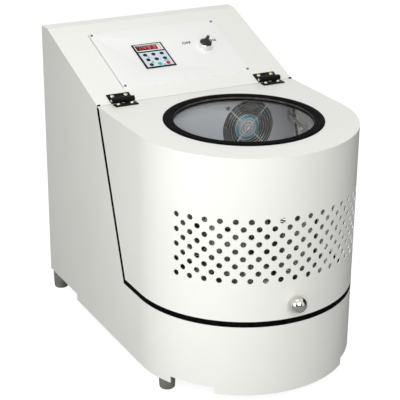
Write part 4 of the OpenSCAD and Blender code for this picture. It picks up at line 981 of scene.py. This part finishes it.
def makeKnob():
    k = knob
    ball, neck, stud = k["ball"], k["neck"], k["stud"]
    front = -mill["halfWidth"]
    bm = bmesh.new()
    sweep = 180 - math.degrees(math.asin((neck - 1.0) / ball))
    angles = [math.radians(i * sweep / k["ballSteps"]) for i in range(1, k["ballSteps"] + 1)]
    profile = [(0, ball)] + [(ball * math.sin(a), ball * math.cos(a)) for a in angles]
    profile += [(neck - 0.6, k["neckAt"]), (stud, k["neckAt"]), (stud, k["studEnd"]), (0, k["studEnd"])]
    turned(bm, profile, toFront(0, front - k["offset"], k["z"]), 64)
    turned(bm, [
        (stud - 0.2, -0.6), (stud - 0.2, 1.5), (neck + 1.2, 1.5), (neck + 2, 1.1), (neck + 2, -0.2),
        (neck + 1.5, -0.6),
    ], toFront(0, front, k["z"]), 48, closed=True)
    bar(bm, k["nut"], k["nutTall"], toFront(0, front + k["nutBehind"], k["z"]))
    bmesh.ops.rotate(
        bm, cent=(0, mill["axisY"], 0), matrix=turn(mill["frontTurn"], "Z").to_3x3(), verts=bm.verts,
    )
    addPiece(bm, "ballKnob", chrome, "lid", ["lid_knob"])


makeKnob()

# Levelling feet
foot = {
    "places": [(205, -63), (217, 487)], "base": 16.5, "top": 18, "height": 41, "stud": 5,
    "nut": 9, "lockNut": 3, "nutRise": 8, "nutGap": 0.1, "plateTop": 52,
}


def makeFeet():
    f = foot
    base, top, stud, height, seat = f["base"], f["top"], f["stud"], f["height"], f["plateTop"]
    end = seat + f["nutRise"]
    bm = bmesh.new()
    for x, y in f["places"]:
        for side in (-1, 1):
            place = spot(side * x, y, 0)
            turned(bm, [
                (0, 0), (base - 3.6, 0), (base - 2.0, 0.5), (base - 0.8, 1.7), (base - 0.1, 3.6), (base + 0.1, 6),
                (top - 0.2, height - 5), (top, height - 3), (top - 0.4, height - 1), (top - 1.8, height),
                (stud, height), (stud, seat), (0, seat),
            ], place, 48)
            for low, tall in ((height, f["lockNut"]), (seat, f["nutRise"])):
                bar(bm, f["nut"], tall - f["nutGap"], place @ at(0, 0, low + tall / 2))
            turned(bm, [(0, end), (stud, end), (stud, end + 3), (stud - 1, end + 4), (0, end + 4)], place, 24)
    addPiece(bm, "levellingFeet", footSteel, "cabinet", ["feet"])


makeFeet()
print("knob and feet made")

# Chamber fan: frame, bladed wheel, wire guard
sticker = {
    "radius": 30.1, "up": 0.25,
    "bands": [  # from the middle outwards, radius and colour
        (0, (0.16, 0.17, 0.18)), (3.5, (0.48, 0.5, 0.52)), (9, (0.2, 0.21, 0.22)), (11.5, (0.5, 0.53, 0.55)),
        (17.5, (0.25, 0.34, 0.38)), (19.5, (0.52, 0.56, 0.58)), (22.3, (0.015, 0.27, 0.42)),
        (28.2, (0.5, 0.55, 0.57)),
    ],
}


def stickerFinish():
    f = Finish("hubSticker")
    parts = f.offsets(fan["x"], 0, fan["z"])
    share = f.sums("DIVIDE", f.reach(parts["X"], parts["Z"]), sticker["radius"] / 1000)
    ramp = f.add("ValToRGB", {"Fac": share})
    stops = ramp.color_ramp.elements
    ramp.color_ramp.interpolation = "CONSTANT"
    for i, (start, colour) in enumerate(sticker["bands"]):
        stop = stops[i] if i < 2 else stops.new(start / sticker["radius"])
        stop.position = start / sticker["radius"]
        stop.color = (*colour, 1)
    grain = f.noise(700.0)
    return f.ends(
        baseColor=ramp.outputs["Color"], roughness=f.between(grain, 0.3, 0.4), normal=f.bump(grain, 0.04, 0.0002),
    )


def fanBlade(bm, depth, place):
    f = fan
    blade = bmesh.ops.create_grid(bm, x_segments=f["bladeCells"], y_segments=f["bladeCells"], size=0.5)["verts"]
    for v in blade:
        along, across = v.co.x + 0.5, v.co.y
        radius = f["bladeRoot"] + along * (f["bladeTip"] - f["bladeRoot"])
        tilt = math.radians(f["tilt"] - f["tiltLoss"] * along)  # the blade flattens towards its tip
        chord = f["chord"] + f["chordGain"] * along
        camber = f["camber"] * (1 - 4 * across * across)
        shift = across * chord * math.cos(tilt) + camber * math.sin(tilt)
        rise = across * chord * math.sin(tilt) - camber * math.cos(tilt)
        room = depth / 2 - f["bladeGap"]
        a = shift / radius + f["sweep"] * along * along
        v.co = (radius * math.cos(a), radius * math.sin(a), depth / 2 + max(-room, min(room, rise)))
    faces = list({face for v in blade for face in v.link_faces})
    thick = newVerts(bmesh.ops.solidify(bm, geom=faces, thickness=f["bladeThick"]))
    bmesh.ops.transform(bm, matrix=place, verts=list(set(blade) | set(thick)))


def makeFan():
    f = fan
    softPiece("fan_frame", f["edge"], "fanFrame", fanPlastic, "cabinet")
    depth, hub = f["wheelBack"] - f["wheelFront"], f["hub"]
    wheel = toBack(f["x"], f["wheelFront"], f["z"])
    bm = bmesh.new()
    turned(bm, [
        (0, 0.6), (hub - 1.7, 0.6), (hub - 1.3, 0.0), (hub - 0.7, 0.2), (hub, 1.4),
        (hub, depth - 0.8), (hub - 0.8, depth), (3, depth), (3, depth + 6), (0, depth + 6),
    ], wheel, f["hubSteps"])
    for i in range(f["blades"]):
        fanBlade(bm, depth, wheel @ turn(i * 360 / f["blades"], "Z"))
    addPiece(bm, "fanWheel", fanPlastic, "fan_wheel", ["fan_rotor"])
    bm = bmesh.new()
    r = sticker["radius"]
    place = toBack(f["x"], f["wheelFront"] + sticker["up"], f["z"])
    turned(bm, [(0, 0), (r - 0.2, 0), (r, 0.15), (r - 0.2, 0.3), (0, 0.3)], place, 72)
    addPiece(bm, "fanSticker", stickerFinish(), "fan_wheel")
    # painted shade on the rings and painted glints on the spokes: one guard wire in two colours
    bm = bmesh.new()
    spokeY = f["wallFront"] - f["wire"]
    for i in range(1, f["guardRings"] + 1):
        place = toBack(f["x"], spokeY - f["ringBehind"], f["z"])
        hoop(bm, i * f["guardPitch"], f["shadedRingWire"], place, 40 + 5 * i)
    addPiece(bm, "guardRings", shadedRingWire, "cabinet", ["fan_guard"])
    bm = bmesh.new()
    reach = f["hole"] - (f["loop"] - f["loopBite"]) / math.sqrt(2)
    for lean in (1, -1):
        start, end = (spot(f["x"] + a * reach, spokeY, f["z"] + a * lean * reach).translation for a in (-1, 1))
        along = end - start
        place = at(*(start + end) / 2) @ along.to_track_quat("Z", "Y").to_matrix().to_4x4()
        bar(bm, f["wire"], along.length, place, 12, f["wireEnd"])
    for a, b in corners:
        hoop(bm, f["loop"], f["wire"], toBack(f["x"] + a * f["hole"], spokeY, f["z"] + b * f["hole"]), 24)
    addPiece(bm, "guardSpokes", litSpokeWire, "cabinet", ["fan_guard"])


makeFan()

# Gas spring
spring = {
    "x": 222, "lidY": 125, "lidZ": 443, "bodyY": 319.97, "bodyZ": 495.74,
    "tube": 7, "tubeLength": 110, "rod": 4, "rodLength": 164,
    "eye": 7.5, "eyeWidth": 12, "stud": 4.05, "tubeNeck": 5.4, "rodNeck": 5.2, "neckEnd": 15,
}


def springEnd(bm, place, neck):
    # a flat eye across the rod's line, with the neck that holds the rod or tube
    eye, stud, half, end = spring["eye"], spring["stud"], spring["eyeWidth"] / 2, spring["neckEnd"]
    turned(bm, [
        (stud, -half), (stud, half), (eye - 0.8, half), (eye, half - 0.8), (eye, 0.8 - half), (eye - 0.8, -half),
    ], place @ turn(90, "Y"), 40, closed=True)
    turned(bm, [(0, eye - 1.5), (neck, eye - 1.5), (neck, end - 1), (neck - 0.6, end), (0, end)], place, 32)


def makeSpring():
    g = spring
    tilt = math.atan2(g["bodyZ"] - g["lidZ"], g["bodyY"] - g["lidY"])
    lean = Matrix.Rotation(tilt, 4, "X")
    back = spot(g["x"], g["lidY"], g["lidZ"]) @ lean @ turn(-90, "X")
    front = spot(g["x"], g["bodyY"], g["bodyZ"]) @ lean @ turn(90, "X")
    bm = bmesh.new()
    springEnd(bm, front, g["tubeNeck"])
    r, end = g["tube"], g["tubeLength"]
    turned(bm, [
        (0, 13), (r - 1.2, 13), (r - 0.3, 13.8), (r, 15), (r, end - 10), (r - 0.6, end - 9.3), (r - 0.6, end - 8.2),
        (r, end - 7.5), (r, end - 2), (r - 0.8, end - 0.6), (r - 1.6, end), (5, end), (5, 18), (0, 18),
    ], front, 40)
    addPiece(bm, "gasTube", handlePlastic, "gas_tube", ["gas_cylinder"])
    bm = bmesh.new()
    springEnd(bm, back, g["rodNeck"])
    r, end = g["rod"], g["rodLength"]
    turned(bm, [(0, 14), (r, 14), (r, end - 0.6), (r - 0.6, end), (0, end)], back, 32)
    addPiece(bm, "gasRod", chrome, "gas_piston", ["gas_rod"])


makeSpring()
print("fan and gas spring made")

# Turntable, jars and clamps
jar = {
    "radius": 50, "bottom": 242, "height": 98, "wall": 7, "groove": 0.8,
    "lid": 10, "lidGap": 0.1, "spigot": 5, "boss": 20, "bossRise": 3,
}
softEdges = {"turntable": 1.0, "holder": 0.6, "pad": 0.6, "handle": 1.0}


def jarProfiles():
    r, low, wall, boss = jar["radius"], jar["bottom"], jar["wall"], jar["boss"]
    top, inner, groove = low + jar["height"], r - wall, r - jar["groove"]
    pot = [
        (0, low), (r - 1.4, low), (r, low + 1.4), (r, low + 46), (groove, low + 46.8), (groove, low + 48.4),
        (r, low + 49.2), (r, top - 9), (groove, top - 8.2), (groove, top - 6.6), (r, top - 5.8), (r, top - 0.8),
        (r - 0.8, top), (inner, top), (inner, low + wall + 6), (inner - 1.8, low + wall + 1.8),
        (inner - 6, low + wall), (0, low + wall),
    ]
    plug, rim, crown = top - jar["spigot"], top + jar["lidGap"], top + jar["lid"]
    peak = crown + jar["bossRise"]
    lid = [
        (0, plug), (inner - 1.2, plug), (inner - 0.3, plug + 1), (inner - 0.3, rim), (r + 0.4, rim),
        (r + 1, rim + 0.6), (r + 1, rim + 3.4), (r + 0.2, rim + 4), (r + 0.2, rim + 5), (r + 1, rim + 5.6),
        (r + 1, crown - 1.4), (r - 0.4, crown), (boss + 1.4, crown), (boss, crown + 0.9), (boss, peak - 0.7),
        (boss - 0.7, peak), (0, peak),
    ]
    return pot, lid


def makeJars():
    e = softEdges
    softPiece("turntable", e["turntable"], "turntableDisc", tableSteel, "turntable_group")
    for k in range(4):
        n = k + 1
        centre = station(k).translation
        steel = lathed(
            f"jarSteel{n}", (0.60, 0.60, 0.59), (0.66, 0.66, 0.65), rough=(0.12, 0.26),
            centre=(centre.x, centre.y - mill["axisY"]), pitch=900, depth=0.05,
        )
        bm = bmesh.new()
        for profile in jarProfiles():
            turned(bm, profile, station(k), 72)
        addPiece(bm, f"jarSet{n}", steel, f"station_{n}", [f"grinding_jar_{n}"])
        softPiece(f"jar_holder_{n}", e["holder"], f"jarFrame{n}", groundSteel, f"station_{n}")
        softPiece(f"clamp_pad_{n}", e["pad"], f"clampPad{n}", groundSteel, f"pad_{n}")
        handle = softened(f"clamp_screw_{n}", e["handle"], 3)
        addPiece(
            handle, f"clampHandle{n}", handlePlastic, f"screw_{n}", [f"clamp_screw_{n}"],
        )


makeJars()

# Motor and power inlet
inlet = {
    "motorEdge": 0.7, "edge": 0.6, "x": 140, "z": 126, "pinY": 499.6, "pinSize": (2, 13, 4), "pinEdge": 0.35,
    "pins": ((0, 3.5), (-7, -2.5), (7, -2.5)),
}


def makeMotor():
    q = inlet
    softPiece("motor_housing", q["motorEdge"], "motorFrame", motorPaint, "cabinet")
    softPiece("power_inlet", q["edge"], "inletBody", blackPlastic, "cabinet")
    bm = bmesh.new()
    for x, z in q["pins"]:
        box(bm, q["pinSize"], spot(q["x"] + x, q["pinY"], q["z"] + z), q["pinEdge"])
    addPiece(bm, "inletPins", brassScrew, "cabinet")


makeMotor()
print("jars, clamps and drive made")
